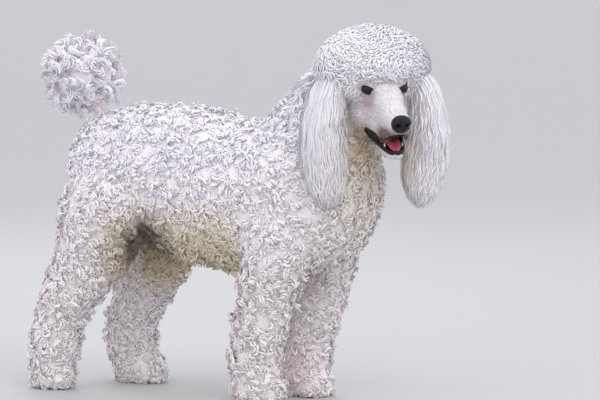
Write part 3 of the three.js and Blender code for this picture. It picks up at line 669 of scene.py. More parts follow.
def locks_mesh(name, paths, facing, width, flatness, colours, charts):
    """One mesh object of many locks: paths (n, rings + 1, 3), whose last point is the tip."""
    n, rows = len(paths), paths.shape[1] - 1
    paths, thick = paths.copy(), width * flatness
    paths[..., 2] = np.maximum(paths[..., 2], 0.6 + thick[:, None])
    tangent = unit(np.gradient(paths, axis=1))[:, :rows]
    across = unit(np.cross(tangent, facing[:, None]))
    upward = np.cross(tangent, across)
    s = np.linspace(0, 1, rows + 1)[None, :rows]
    body = (0.62 + 0.38 * smooth(0, 0.35, s)) * (1 - 0.72 * smooth(0.55, 1.05, s))
    half_w = (width[:, None] / 2 * body)[..., None, None]
    half_t = (thick[:, None] / 2 * body)[..., None, None]
    corners = RING_CORNERS[None, None]
    ring = paths[:, :rows, None] + across[:, :, None] * corners[..., :1] * half_w
    ring = ring + upward[:, :, None] * corners[..., 1:] * half_t
    verts = np.concatenate([ring.reshape(n, rows * 3, 3), paths[:, -1:]], axis=1)
    verts[..., 2] = np.maximum(verts[..., 2], 0.3)
    per = rows * 3 + 1
    grid = np.arange(rows * 3).reshape(rows, 3)
    ahead = np.roll(grid, -1, axis=1)
    quads = np.stack([grid[:-1], ahead[:-1], ahead[1:], grid[1:]], axis=-1).reshape(-1, 4)
    tris = np.vstack([np.column_stack([grid[-1], ahead[-1], [per - 1] * 3]), [2, 1, 0]])
    one = np.concatenate([quads.ravel(), tris.ravel()])
    sizes = np.array([4] * len(quads) + [3] * len(tris))
    loops = (one[None] + (np.arange(n) * per)[:, None]).ravel()
    totals = np.tile(sizes, n)
    starts = np.concatenate([[0], np.cumsum(totals)[:-1]])
    mesh = bpy.data.meshes.new(name)
    mesh.vertices.add(n * per)
    mesh.vertices.foreach_set("co", ((verts.reshape(-1, 3) + SHIFT) * 0.001).astype(np.float32).ravel())
    mesh.loops.add(len(loops))
    mesh.loops.foreach_set("vertex_index", loops.astype(np.int32))
    mesh.polygons.add(len(totals))
    mesh.polygons.foreach_set("loop_start", starts.astype(np.int32))
    mesh.update(calc_edges=True)
    mesh.shade_smooth()
    along = np.append(np.repeat(np.linspace(0, 1, rows + 1)[:rows], 3), 1.0)
    # painted shade: each lock darkens from its tip towards its root
    shade = mix(ROOT_PAINTED_SHADE, 1.0, smooth(0.0, 0.8, along))
    tint = (colours[:, None] * shade[None, :, None]).reshape(-1, 3)
    aside = np.append(np.tile([-1.0, 1.0, 0.0], rows), 0.0)
    strand = np.zeros((n, per, 3))
    strand[..., 0] = aside + RNG.random((n, 1)) * 60
    strand[..., 1] = along * (np.linalg.norm(np.diff(paths, axis=1), axis=2).sum(axis=1)[:, None] / 6)
    strand[..., 2] = RNG.random((n, 1)) * 60
    layer = mesh.attributes.new("strand", "FLOAT_VECTOR", "POINT")
    layer.data.foreach_set("vector", strand.astype(np.float32).ravel())
    shown = mesh.uv_layers.new(name="OFBake")
    offset = np.stack([(aside + 1) / 2, along], axis=1) * OFBAKE_PATCH
    corner_uv = (charts[:, None] + offset[None]).reshape(-1, 2)[loops]
    shown.data.foreach_set("uv", corner_uv.astype(np.float32).ravel())
    mesh.materials.append(coat_material)
    soften(mesh, np.repeat(facing, per, axis=0))
    thing = bpy.data.objects.new(name, mesh)
    bpy.context.scene.collection.objects.link(thing)
    paint(thing, tint)
    return thing


def soften(mesh, outward):
    """Turns the locks' shading partly to the skin's own, so that the coat looks like one soft mass."""
    own = np.zeros(len(mesh.vertices) * 3, np.float32)
    mesh.vertex_normals.foreach_get("vector", own)
    blended = unit(own.reshape(-1, 3) * (1 - SOFTNESS) + outward * SOFTNESS)
    mesh.normals_split_custom_set_from_vertices(blended.tolist())


def curl_paths(root, axis, lie, length, radius, turns, phase, hand, rows):
    """Locks that wind round their own axis and close in a hook at the tip."""
    first = unit(lie - axis * dot(lie, axis))
    second = np.cross(axis, first)
    s = np.concatenate([[0.0], np.linspace(0.3, 1, rows)])[None]
    grow = smooth(0.0, 0.5, s) * radius[:, None] * (1 - 0.35 * smooth(0.75, 1, s))
    angle = phase[:, None] + hand[:, None] * TAU * turns[:, None] * s
    rise = length[:, None] * (s - 0.18 * smooth(0.7, 1, s))
    out = root[:, None] + axis[:, None] * rise[..., None]
    out = out + first[:, None] * ((np.cos(angle) - np.cos(phase)[:, None]) * grow)[..., None]
    return out + second[:, None] * ((np.sin(angle) - np.sin(phase)[:, None]) * grow)[..., None]


def tangent_basis(normal, lie):
    first = unit(lie - normal * dot(lie, normal))
    return first, np.cross(normal, first)


def chart_at(turn, place):
    """Each root's place on its piece's unwrap, from two numbers of 0 to 1."""
    return np.stack([0.01 + 0.97 * turn, 0.01 + 0.97 * place], axis=1)


def body_chart(p):
    """The nearest form of each root, with its lie, and the root's place on an unwrap of the body."""
    forms = [torso, neck, *legs.values()]
    found = [f.locate(p) for f in forms]
    nearest = np.array([far for _, _, far in found]).argmin(axis=0)
    place = np.choose(nearest, [f[0] for f in found])
    angle = np.choose(nearest, [f[1] for f in found])
    lie = np.zeros_like(p)
    for k, form in enumerate(forms):
        mine = nearest == k
        way = 1.0 if k > 1 else -1.0
        lie[mine] = form.pick(form.tangent, place[mine]) * way
    turn = (angle / TAU) % 1
    chart = np.stack([(nearest + 0.02 + 0.95 * turn) / len(forms), 0.01 + 0.97 * place], axis=1)
    return nearest, lie, chart


def outside_others(p):
    """Whether roots are clear of the tail, its ball and the head."""
    h = to_head(p)
    clear = np.linalg.norm(p - np.array(POMPON["at"], float), axis=1) > POMPON["core"] + 4
    tail_place, _, tail_far = tail.locate(p)
    clear &= ~((tail_far < 1.25) & (tail_place > 0.35))
    inside_skull = (np.abs(h[:, 1]) < 50) & (h[:, 0] > -100) & (h[:, 2] > -100) & (h[:, 2] < 40)
    return clear & ~inside_skull & (p[:, 2] > 3)


# Each part's curls: locks in a clump, length, curl radius, turns, lock width, lean from the normal
CURLS = {
    "torso": dict(locks=4, length=22, radius=4.8, turns=1.2, width=5.2, lean=0.95),
    "leg": dict(length=24, radius=5.2),
}


EAR_ROOT = from_head([-70, 0, 0])
CURL_RELIEF = 0.42  # least share of a curl's height that is kept
MANE_LENGTH = 48
EAR_STRANDS = 2300
EAR_WAVE = 58  # length of one wave along an ear's strands
POMPON_BUNCHES = 160
TAIL_HAIRS = 420


def near_root(points, first, second, reach):
    """Points moved by up to reach along the skin."""
    spot = RNG.random(len(points)) * TAU
    away = np.sqrt(RNG.random(len(points))) * reach
    return points + first * (np.cos(spot) * away)[:, None] + second * (np.sin(spot) * away)[:, None]


def either_hand(count):
    return np.where(RNG.random(count) < 0.5, -1.0, 1.0)


def grow_curls(surface):
    style, leg_style = CURLS["torso"], CURLS["leg"]
    points, normals = surface.scatter(SPACING["curls"], outside_others)
    nearest, lie, chart = body_chart(points)
    count = len(points)
    first, second = tangent_basis(normals, lie)
    phase = RNG.random(count) * TAU
    hand = either_hand(count)
    swirl = RNG.normal(0, 1.0, count)
    lean = style["lean"] * vary(0.8, 0.4, count)
    leg = nearest > 1
    low = leg & (points[:, 2] < 70)
    length = np.where(leg, leg_style["length"], style["length"]) * vary(0.85, 0.3, count)
    length = np.where(low, length * 0.8, length)
    mane = (nearest == 1) * (1 - smooth(150, 230, np.linalg.norm(points - EAR_ROOT, axis=1)))
    mane = mane * (1 - smooth(-130, -90, to_head(points)[:, 0]))
    length = mix(length, MANE_LENGTH, mane)
    lean = mix(lean, 1.28, mane)
    radius = np.where(leg, leg_style["radius"], style["radius"]) * vary(0.75, 0.5, count)
    radius = np.where(low, radius * 0.75, radius)
    axis = unit(turned(normals, turned(first, second, swirl), lean))
    index = np.repeat(np.arange(count), style["locks"])
    many = len(index)
    root = near_root(points[index], first[index], second[index], SPACING["curls"] * 0.5)
    root = root - normals[index] * 1.5
    jitter = lambda v, share: v[index] * (1 + share * (2 * RNG.random(many) - 1))
    paths = curl_paths(
        root,
        unit(axis[index] + RNG.normal(0, 0.10, (many, 3))),
        first[index],
        jitter(length, 0.12) * 1.18,
        jitter(radius, 0.15),
        mix(style["turns"], 0.9, mane[index]) + RNG.normal(0, 0.1, many),
        phase[index] + RNG.normal(0, 0.35, many),
        hand[index],
        6,
    )
    # the curls are pressed down, so that they lie along the body
    height = dot(paths - root[:, None], normals[index][:, None])
    kept = (CURL_RELIEF + (1 - CURL_RELIEF) * RNG.random(count) ** 3)[index]
    paths = paths - normals[index][:, None] * height * (1 - kept[:, None, None])
    width = style["width"] * vary(0.7, 0.6, many)
    colours = markings_and_shade(root) * vary(0.95, 0.06, many, 1)
    part = nearest[index]
    band = np.select([points[index, 1] > 60, points[index, 1] > -180], [0, 1], 2)
    groups = {}
    for k, name in enumerate(("rear", "middle", "front")):
        groups[f"torso_{name}"] = (part == 0) & (band == k)
    groups["neck"] = part == 1
    for k, name in enumerate(legs):
        groups[name] = part == k + 2
    for name, mine in groups.items():
        facing, charts = normals[index][mine], chart[index][mine]
        rows = (paths[mine], facing, width[mine], FLATNESS["curls"], colours[mine], charts)
        dress(locks_mesh(f"coat_{name}", *rows), "leg_coat" if name in legs else "coat")


def dress(thing, slot, *nodes):
    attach(thing, "root")
    if nodes:
        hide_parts(*nodes)


def topknot_field(p):
    """How much each root belongs to the topknot, from 0 on the face to 1 on the crown."""
    h = to_head(p)
    brow = 14 + 0.10 * np.abs(h[:, 1])
    front = smooth(-10, 22, h[:, 2] - brow)
    back = smooth(-6, -30, h[:, 0])
    side = smooth(-34, -8, h[:, 2]) * back
    return np.clip(np.maximum(front, side), 0, 1)


def grow_topknot(surface):
    points, _ = surface.scatter(SPACING["topknot"], lambda p: topknot_field(p) > 0.35)
    h = to_head(points)
    count = len(h)
    middle, radius = np.array(TOPKNOT["at"], float), np.array(TOPKNOT["radius"], float)
    out = unit((h - (middle + [6, 0, -30])) / np.array([1.0, 1.15, 0.9]))
    # each strand ends on the ball's outline
    rel, way = (h - middle) / radius, out / radius
    a, b, c = (way**2).sum(1), 2 * (rel * way).sum(1), (rel**2).sum(1) - 1
    reach = (-b + np.sqrt(np.maximum(b * b - 4 * a * c, 0))) / (2 * a)
    full = mix(0.35, 1.0, topknot_field(points))
    reach = np.clip(reach, 8, 60) * (0.92 + 0.10 * RNG.random(count) ** 0.6) * full
    s = np.linspace(0, 1, 9)[None]
    x, y, z = h.T
    flow = np.stack([np.sin(y / 21 + 1), np.sin(z / 17 + x / 29), np.sin(x / 23 + 2) - 0.6], axis=1)
    drift = unit(flow + RNG.normal(0, 0.45, (count, 3)))
    drift = unit(drift - out * dot(drift, out))
    bend = np.cross(out, drift)
    # the outer part turns over and lies along the ball, with a wave across
    rise = (np.minimum(s / 0.62, 1) - 0.10 * smooth(0.72, 1, s)) * reach[:, None]
    lay = 17 * vary(0.5, 1, count, 1) * np.clip(s - 0.5, 0, 1) ** 1.2 * 2.2
    wave = (np.sin(h[:, :1] / 9) + np.sin(h[:, 1:2] / 8) + RNG.normal(0, 0.5, (count, 1))) * 2
    side = 3.0 * (np.sin(wave + s * 6.5) - np.sin(wave)) * smooth(0.15, 0.7, s)
    path = h[:, None] + out[:, None] * (rise - 2)[..., None]
    path = path + drift[:, None] * lay[..., None] + bend[:, None] * side[..., None]
    path[..., 2] -= (s**2.2) * (6 * smooth(-45, 0, h[:, 0:1]) + 5 * smooth(20, 60, np.abs(h[:, 1:2])))
    width = 4.6 * vary(0.6, 0.7, count)
    colours = markings_and_shade(points) * vary(0.96, 0.05, count, 1)
    chart = ellipsoid_chart(h, middle)
    rows = (from_head(path), out @ HEAD.T, width, FLATNESS["topknot"], colours, chart)
    dress(locks_mesh("coat_topknot", *rows), "coat")


def ellipsoid_chart(h, middle):
    d = unit(h - middle)
    return chart_at((np.arctan2(d[:, 1], d[:, 0]) / TAU) % 1, np.arccos(np.clip(d[:, 2], -1, 1)) / math.pi)


def in_mouth(h):
    """Whether points of the head's frame lie between or on the lips."""
    low, high = (catmull(np.array(rows, float), np.linspace(0, 1, 60)) for rows in (LOWER_LIP, UPPER_LIP))
    x, aside, z = h[:, 0], np.abs(h[:, 1]), h[:, 2]
    floor, roof = np.interp(x, low[:, 0], low[:, 2]), np.interp(x, high[:, 0], high[:, 2])
    upper = z >= (floor + roof) / 2
    wide = np.where(upper, np.interp(x, high[:, 0], high[:, 1]), np.interp(x, low[:, 0], low[:, 1]))
    fore = x > LOWER_LIP[0][0] - 3
    near = fore & (x < 106) & (z > floor - 4.5) & (z < roof + 1.5) & (aside < wide + 4)
    deep = fore & (x < 96) & (z > floor - 14) & (z < roof + 14) & (aside < wide - 6)
    return near | deep


def grow_face(surface):
    def keep(p):
        h = to_head(p)
        eye_gap = np.minimum(*(np.linalg.norm(h - eye, axis=1) for eye in EYES.values()))
        return (topknot_field(p) <= 0.5) & ~in_mouth(h) & (eye_gap >= EYE_RADIUS + 2) & (h[:, 0] <= 99)

    points, normals = surface.scatter(SPACING["face"], keep)
    h = to_head(points)
    count = len(h)
    back = np.tile([-1.0, 0.0, -0.12], (count, 1))
    back[:, 2] -= 0.5 * smooth(-20, -60, h[:, 2])
    fringe = np.clip(sum(blob(h, (70, 24 * sign, -79), (28, 10, 9)) for sign in SIDES), 0, 1)
    lie = mix(back, np.array([0.5, 0.0, -1.0]), fringe) @ HEAD.T
    first, second = tangent_basis(normals, lie)
    beard = 0.8 * smooth(-88, -112, h[:, 2]) * smooth(60, 10, h[:, 0])
    fluffy = np.clip(smooth(0, -55, h[:, 0]) + beard, 0, 1)
    length = mix(6.5, 24.0, fluffy) * vary(0.8, 0.4, count) + 9 * fringe[:, 0]
    way = turned(first, second, RNG.normal(0, 0.22 + 0.5 * fluffy))
    axis = unit(turned(normals, way, mix(1.2, 0.85, fluffy)))
    s = np.linspace(0, 1, 5)[None]
    path = points[:, None] - normals[:, None] * 0.8 + axis[:, None] * (length[:, None] * s)[..., None]
    path = path - normals[:, None] * ((s**2) * length[:, None] * 0.16)[..., None]
    sway = RNG.normal(0, 1, count)[:, None] * (0.8 + 4.5 * fluffy[:, None])
    path = path + unit(np.cross(normals, way))[:, None] * (np.sin(s * 3.1) * sway)[..., None]
    width = mix(1.7, 3.6, fluffy) * vary(0.75, 0.5, count)
    speckle = sum(blob(h, (8, 36 * sign, -18), (16, 11, 14)) for sign in SIDES)
    speckle = speckle + 0.4 * blob(h, (84, 0, -24), (16, 20, 8))
    dark = RNG.random((count, 1)) < 0.5 * speckle
    colours = mix(markings_and_shade(points), GREY, 0.45 * dark) * vary(0.84, 0.18, count, 1)
    turn = (np.arctan2(h[:, 1], h[:, 2] + 50) / TAU) % 1
    chart = np.clip(chart_at((h[:, 0] + 140) / 260, turn), 0, 0.995)
    dress(locks_mesh("coat_face", path, normals, width, FLATNESS["face"], colours, chart), "coat")


def grow_ears():
    count = EAR_STRANDS
    s = np.linspace(0, 1, 10)[None]
    for name, form in ears.items():
        start = RNG.random(count) ** 0.8 * 0.66 + 0.02
        angle = RNG.random(count) * TAU
        end = np.minimum(start + 0.34 + 0.28 * RNG.random(count), vary(0.93, 0.10, count))
        u = start[:, None] + (end - start)[:, None] * s
        outer = RNG.random(count)[:, None] ** 1.3
        inset = 6 * (1 - smooth(0, 0.35, s)) + mix(0.0, 3.4, outer) * smooth(0, 0.4, s)
        # neighbouring strands wave together, and each ends in a loose curl
        phase = 1.6 * np.sin(2 * angle + 1.0) + 1.1 * np.sin(5 * angle) + 0.3 * RNG.normal(0, 1, count)
        wave = TAU * u * form.length / EAR_WAVE + phase[:, None]
        size = np.maximum(form.pick(form.size, u).mean(axis=-1), 16)
        swing = vary(1.8, 1.4, count)[:, None] * np.sin(wave)
        curl = smooth(0.72, 1.0, s) * (RNG.random(count)[:, None] - 0.5) * 22
        lift = 0.9 * np.cos(wave) - 7 * (outer < 0.12) * smooth(0.5, 1.0, s)
        paths = form.point(u, angle[:, None] + (swing + curl) / size, inset + lift)
        middle = form.pick(form.centre, u)
        facing = unit((paths - middle)[:, 4])
        width = 4.5 * vary(0.5, 0.8, count)
        colours = markings_and_shade(paths[:, 4]) * vary(0.95, 0.06, count, 1)
        chart = chart_at((angle / TAU) % 1, start)
        dress(locks_mesh(f"coat_{name}", paths, facing, width, FLATNESS["ears"], colours, chart), "coat")
        flap = piece_mesh(f"flap_{name}", *closed_rings(form.rings(4.0, 40, 32, 0.03, 0.86)), skin_material)
        paint(flap, np.tile(mix(WHITE, SKIN_PINK, 0.4), (len(flap.data.vertices), 1)))
        dress(flap, "coat", name)


def grow_pompon():
    centre = np.array(POMPON["at"], float)
    k = np.arange(POMPON_BUNCHES)
    z = 1 - 2 * (k + 0.5) / POMPON_BUNCHES
    around = math.pi * (3 - math.sqrt(5)) * k
    level = np.sqrt(1 - z * z)
    out = np.stack([level * np.cos(around), level * np.sin(around), z], axis=1)
    stem = np.array([0.0, -0.36, -0.93])
    out = out[(out @ stem) < 0.86]
    count = len(out)
    index = np.repeat(np.arange(count), 7)
    many = len(index)
    aside = unit(np.cross(out, RNG.normal(0, 1, (count, 3))))
    reach = (POMPON["radius"] - 40) * vary(0.85, 0.3, count)
    phase = RNG.random(count) * TAU
    hand = either_hand(count)
    first, second = aside[index], np.cross(out, aside)[index]
    root = near_root(centre + out[index] * 36, first, second, 6)
    paths = curl_paths(
        root,
        unit(out[index] + first * 0.15),
        first,
        reach[index] * vary(0.95, 0.1, many) * 1.2,
        7.5 * vary(0.8, 0.4, count)[index] * vary(0.85, 0.3, many),
        np.full(many, 1.5),
        phase[index] + RNG.normal(0, 0.25, many),
        hand[index],
        13,
    )
    width = 5.0 * vary(0.7, 0.6, many)
    colours = markings_and_shade(root) * vary(0.93, 0.1, many, 1)
    rows = (paths, out[index], width, FLATNESS["pompon"], colours, ellipsoid_chart(root, centre))
    dress(locks_mesh("coat_pompon", *rows), "coat", "tail_pompon")


def grow_tail():
    u = vary(0.2, 0.75, TAIL_HAIRS)
    angle = RNG.random(TAIL_HAIRS) * TAU
    root = tail.point(u, angle, 1.6)
    out = unit(root - tail.pick(tail.centre, u))
    length = 7 * vary(0.7, 0.6, TAIL_HAIRS)
    axis = unit(out * 0.35 + tail.pick(tail.tangent, u))
    paths = root[:, None] + axis[:, None] * (length[:, None] * np.linspace(0, 1, 5)[None])[..., None]
    width = 2.0 * vary(0.7, 0.6, TAIL_HAIRS)
    rows = (out, width, FLATNESS["tail"], mix(markings_and_shade(root), PINK, 0.15), chart_at((angle / TAU) % 1, u))
    dress(locks_mesh("coat_tail", paths, *rows), "shaved_skin")


# Parts of the head
def eyeball(sign):
    name = f"eye_{SIDES[sign]}"
    gaze = unit(np.array([math.cos(EYE_YAW), sign * math.sin(EYE_YAW), 0.02]))
    aside = unit(np.cross([0.0, 0.0, 1.0], gaze))
    upward = np.cross(gaze, aside)
    polar = np.linspace(0.01, math.pi - 0.01, 48)[:, None]
    around = circle(48)[None]
    bulge = EYE_RADIUS - 0.35 + 0.3 * np.exp(-((polar / 0.5) ** 2))
    shape = (
        gaze * (np.cos(polar) * bulge * np.ones_like(around))[..., None]
        + aside * (np.sin(polar) * bulge * np.cos(around))[..., None]
        + upward * (np.sin(polar) * bulge * np.sin(around))[..., None]
    )
    thing = piece_mesh(f"ball_{name}", *closed_rings(from_head(shape + EYES[sign])), eye_material)
    angle = np.append(np.repeat(polar[:, 0], 48), [0.0, math.pi])[:, None]
    pupil, iris, white = np.array([(0.003, 0.002, 0.002), (0.016, 0.007, 0.004), (0.12, 0.09, 0.085)])
    colour = mix(np.tile(pupil, (len(angle), 1)), iris, smooth(0.32, 0.40, angle))
    colour = mix(colour, pupil, smooth(0.56, 0.66, angle))
    paint(thing, mix(colour, white, smooth(0.74, 0.90, angle)))
    dress(thing, "eyes", name)


def lids(sign, tree):
    """A ring of skin from the fissure's edge, over the eyeball, to the face round it."""
    sides = 56
    around = circle(sides)
    # the fissure's half width and half height as angles on the eyeball, raised at the outer corner
    wide, tall, low = math.radians(55), math.radians(31), math.radians(29)
    across = np.cos(around)
    height = np.where(np.sin(around) > 0, tall, low) * np.sin(around) * (0.9 + 0.1 * np.abs(np.sin(around)))
    edge_rise = height + math.radians(10) * across * sign
    rings = []
    steps = [(0.98, 0.2), (1.0, 0.9), (1.06, 1.7), (1.2, 2.2), (1.42, 2.3), (1.7, 1.4), (2.05, 0)]
    for spread_by, proud in steps:
        a, b = EYE_YAW * sign + wide * across * spread_by, edge_rise * spread_by
        way = np.stack([np.cos(b) * np.cos(a), np.cos(b) * np.sin(a), np.sin(b)], axis=1)
        rings.append(EYES[sign] + way * (EYE_RADIUS + proud))
    points = from_head(np.array(rings))
    found = [tree.find_nearest(Vector(p))[:2] for p in points[-1]]
    outer = np.array([np.array(place) - np.array(normal) for place, normal in found])
    rows = np.vstack([points[:-1], mix(points[-1], outer, 0.5)[None], outer[None]])
    # a second layer behind closes the ring into a solid
    back = rows + unit(from_head(EYES[sign]) - rows) * 1.2
    back[0] = rows[0]
    loop = np.vstack([rows, back[::-1][:-1]])
    count = len(loop)
    grid = np.arange(count * sides).reshape(count, sides)
    ahead = np.roll(grid, -1, axis=0)
    faces = np.stack([grid, np.roll(grid, -1, axis=1), np.roll(ahead, -1, axis=1), ahead], axis=-1)
    faces = faces.reshape(-1, 4).tolist()
    thing = piece_mesh(f"lids_{SIDES[sign]}", loop.reshape(-1, 3), faces, skin_material)
    ring = np.repeat(np.arange(count), sides)[:, None]
    rim = np.where((ring <= 3) | (ring >= count - 3), 1.0, np.where(ring == 4, 0.55, 0.0))
    paint(thing, mix(mix(WHITE, SKIN_PINK, 0.12), LID_DARK, rim))
    dress(thing, "coat")


def cord(line, radius, squash=1.0):
    """A closed cord along a line of the head's frame, taller than wide by squash."""
    tangent = unit(np.gradient(line, axis=0))
    across = unit(np.cross([0.0, 0.0, 1.0], tangent))
    upward = np.cross(tangent, across)
    around = circle(14)
    wide = across[:, None] * (radius[:, None] * np.cos(around))[..., None]
    tall = upward[:, None] * ((radius * squash)[:, None] * np.sin(around))[..., None]
    return closed_rings(from_head(line[:, None] + wide + tall))


def lip_line(stations):
    """The whole edge of a lip in the head's frame, from the right corner round to the left one."""
    half = catmull(np.array(stations, float), np.linspace(0, 1, 90))
    return np.vstack([half * [1, -1, 1], (half[:-1])[::-1]])


def lip_radius(line, corner, full):
    """Thickness of a lip, from the corner of the mouth to its front."""
    return mix(corner, full, smooth(LOWER_LIP[0][0], LOWER_LIP[0][0] + 30, line[:, 0]))


def lip_roots():
    """Flesh behind the lips, which joins them to the jaws."""
    lower, upper = lip_line(LOWER_LIP), lip_line(UPPER_LIP)
    flange = mix(12.0, 4.0, smooth(60, 100, upper[:, 0]))
    outer = upper * [1, 0.88, 1] + [-2, 0, 0]
    outer[:, 2] += flange
    return [
        cord(lower * [1, 0.84, 1] + [-3, 0, -2.5], lip_radius(lower, 3.5, 6.0), 0.75),
        cord(outer, lip_radius(upper, 3.5, 4.0), flange / 4.0),
    ]


def lips():
    lower, upper = lip_line(LOWER_LIP), lip_line(UPPER_LIP)
    parts = [cord(lower, lip_radius(lower, 1.6, 2.9), 1.5)]
    parts.append(cord(upper * [1, 0.96, 1] + [0, 0, 1.0], lip_radius(upper, 1.4, 2.4)))
    around = circle(16)
    # the black fold that spans the rear of the mouth on either side: lip flesh, and painted shade for the
    # mouth's inside behind it
    for sign in SIDES:
        low, high = lower[:40] * [1, -sign, 1], upper[:40] * [1, -sign, 1]
        front = smooth(26, 40, low[:, 0])[:, None]
        middle = mix((low + high) / 2, low, front) * [1, 0.95, 1]
        tall = np.abs(high - low)[:, 2] / 2 * (1 - front[:, 0]) + 1.6
        rings = np.repeat(middle[:, None], 16, axis=1)
        rings[..., 1] += 1.6 * np.cos(around)
        rings[..., 2] += tall[:, None] * np.sin(around)
        parts.append(closed_rings(from_head(rings)))
    dress(piece_mesh("lips", *joined(parts), wet["lip"]), "nose")


def tongue():
    # forward, up, half width, half thickness
    stations = [
        (-18, -86, 14, 4.5), (5, -88, 15, 6), (35, -92, 15, 7.5), (55, -96, 14.5, 7.5),
        (70, -101, 12.5, 5.5), (78, -105, 8.5, 3.5), (82, -107, 4, 2),
    ]
    x, z, w, t = catmull(np.array(stations, float), np.linspace(0, 1, 60)).T[..., None]
    c, s = np.cos(circle(40)), np.sin(circle(40))
    groove = 2.6 * np.exp(-((c / 0.2) ** 2)) * (s > 0)
    height = z + t * s + (1.6 * c**4 - groove) * (t / 6)
    rings = from_head(np.stack([x * np.ones_like(c), w * c, height], axis=-1))
    dress(piece_mesh("tongue_flesh", *closed_rings(rings), wet["tongue"]), "tongue", "tongue")


def teeth():
    parts = []
    around = circle(10)[None]
    t = np.linspace(0, 1, 8)[:, None]

    def peg(x, y, z, radius, height, lean=0.0):
        r = radius * np.sqrt(np.maximum(0.03, 1 - t**1.6))
        tall = height * t * np.ones_like(around)
        points = [x + lean * t**2 * abs(height) + r * np.cos(around), y + r * 0.8 * np.sin(around), z + tall]
        parts.append(closed_rings(from_head(np.stack(points, axis=-1))))

    for sign in SIDES:
        peg(62, 18.5 * sign, -108, 2.8, 14, -0.25)
        peg(82, 16 * sign, -68, 2.8, -12, -0.15)
        for k in range(4):
            peg(46 - 11 * k, (18.0 + 2.2 * k) * sign, -105 + 2.4 * k, 2.4, 4.5)
            peg(64 - 12 * k, (20.0 + 1.7 * k) * sign, -76, 2.8, -7)
    dress(piece_mesh("teeth", *joined(parts), wet["tooth"]), "tongue")


def nose():
    polar = np.linspace(0.02, math.pi - 0.02, 60)[:, None]
    around = circle(64)[None]
    x = powered(np.cos(polar), 0.9) * np.ones_like(around)
    y = powered(np.sin(polar), 0.85) * powered(np.cos(around), 0.9)
    z = powered(np.sin(polar), 0.85) * powered(np.sin(around), 0.9)
    taper = 1 - 0.12 * (z < 0) * np.abs(z)
    h = np.stack([103 + 16 * x, 20.5 * y * taper, -45 + 18.5 * z + 2.0 * x], axis=-1).reshape(-1, 3)
    for sign in SIDES:
        slit = blob(h, (110, 15.5 * sign, -49), (9, 4.5, 2.2))
        hole = blob(h, (118, 9.2 * sign, -46), (9, 4.2, 3.6)) + 0.7 * slit
        h = h - np.minimum(hole, 1) * np.array([9.0, 2.0 * sign, 0.0])
        wing = blob(h, (112, 14 * sign, -40), (8, 5, 5))
        h = h + wing * np.array([1.4, 1.0 * sign, 0.6])
    # the groove down the middle
    line = np.exp(-((h[:, 1:2] / 1.2) ** 2)) * smooth(-44, -52, h[:, 2:3]) * smooth(104, 112, h[:, 0:1])
    rings = from_head(h - line * np.array([2.2, 0, 0])).reshape(60, 64, 3)
    dress(piece_mesh("nose_pad", *closed_rings(rings), wet["nose_leather"]), "nose", "nose")


def skin_piece(body, head):
    verts, faces = joined([(body.verts, body.faces), (head.verts, head.faces)])
    thing = piece_mesh("skin", verts, faces, skin_material)
    colour = mix(markings_and_shade(verts), SKIN_PINK, 0.07)
    # painted shade: the skin inside the mouth is dark red flesh darkened to near black
    colour = mix(colour, MOUTH_PAINTED_SHADE, in_mouth(to_head(verts))[:, None])
    bare_tail = smooth(1.6, 1.2, tail.locate(verts)[2])[:, None]
    colour = mix(colour, SKIN_PINK, 0.35 * bare_tail)
    paint(thing, colour)
    flesh = ["torso", "neck", "head", "jaw", "tail"]
    flesh += [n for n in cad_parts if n.startswith(("fore_", "hind_"))]
    dress(thing, "coat", *flesh)


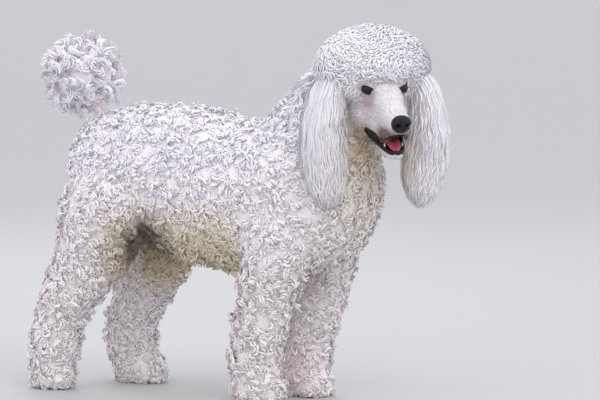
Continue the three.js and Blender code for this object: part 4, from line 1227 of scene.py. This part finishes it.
def stage_and_light():
    bpy.ops.mesh.primitive_plane_add(size=600, location=(0, 0, 0))
    floor = bpy.context.object
    floor.name = "floor"
    floor.data.materials.append(
        node_material("floor", 0.8, wet_nodes((0.49, 0.50, 0.50), (0.52, 0.53, 0.53), 3.0, 0.0))
    )
    world = bpy.context.scene.world or bpy.data.worlds.new("world")
    bpy.context.scene.world = world
    world.use_nodes = True
    background = world.node_tree.nodes["Background"]
    background.inputs["Color"].default_value = (0.96, 0.94, 1.0, 1)
    background.inputs["Strength"].default_value = 1.13
    for name, at, size, power, colour in (
        ("key", (-1.6, -2.2, 3.4), 2.0, 40, (1.0, 0.98, 0.95)),
        ("rim", (2.4, 2.0, 3.0), 2.0, 30, (0.95, 0.97, 1.0)),
        ("fill", (-4.0, 1.5, 1.6), 3.0, 12, (0.95, 0.95, 1.0)),
    ):
        light = bpy.data.lights.new(name, "AREA")
        light.size, light.energy, light.color = size, power, colour
        thing = bpy.data.objects.new(name, light)
        thing.location = at
        aim = Vector((0, -0.1, 0.4)) - thing.location
        thing.rotation_euler = aim.to_track_quat("-Z", "Y").to_euler()
        bpy.context.scene.collection.objects.link(thing)
    bpy.context.scene.view_settings.view_transform = "Standard"


def camera():
    """Seen from the dog's right and front, from a metre above the floor."""
    azimuth = math.radians(-60)
    distance, height = 7500.0, 1000.0
    focal = 3562.5  # in pixels of the 600 wide frame
    aim_right, aim_down = (300 - 173.4) / focal, (200 + 83.2) / focal
    forward = np.array([-math.sin(azimuth), math.cos(azimuth), 0.0])
    right = np.array([forward[1], -forward[0], 0.0])
    place = (-forward * distance + [0, 0, height] + SHIFT) * 0.001
    aim = forward + right * aim_right + np.array([0, 0, -aim_down])
    lens = bpy.data.cameras.new("camera")
    lens.sensor_width = 36
    lens.lens = focal / 600 * 36
    lens.clip_end = 60
    thing = bpy.data.objects.new("camera", lens)
    thing.location = place
    thing.rotation_euler = Vector(aim).to_track_quat("-Z", "Y").to_euler()
    bpy.context.scene.collection.objects.link(thing)
    bpy.context.scene.camera = thing


body = body_surface()
head = head_surface()
head_tree = BVHTree.FromPolygons([Vector(v) for v in head.verts], head.faces)
skin_piece(body, head)
for side in SIDES:
    eyeball(side)
    lids(side, head_tree)
nose()
lips()
tongue()
teeth()
grow_curls(body)
grow_topknot(head)
grow_face(head)
grow_ears()
grow_pompon()
grow_tail()
stage_and_light()
camera()
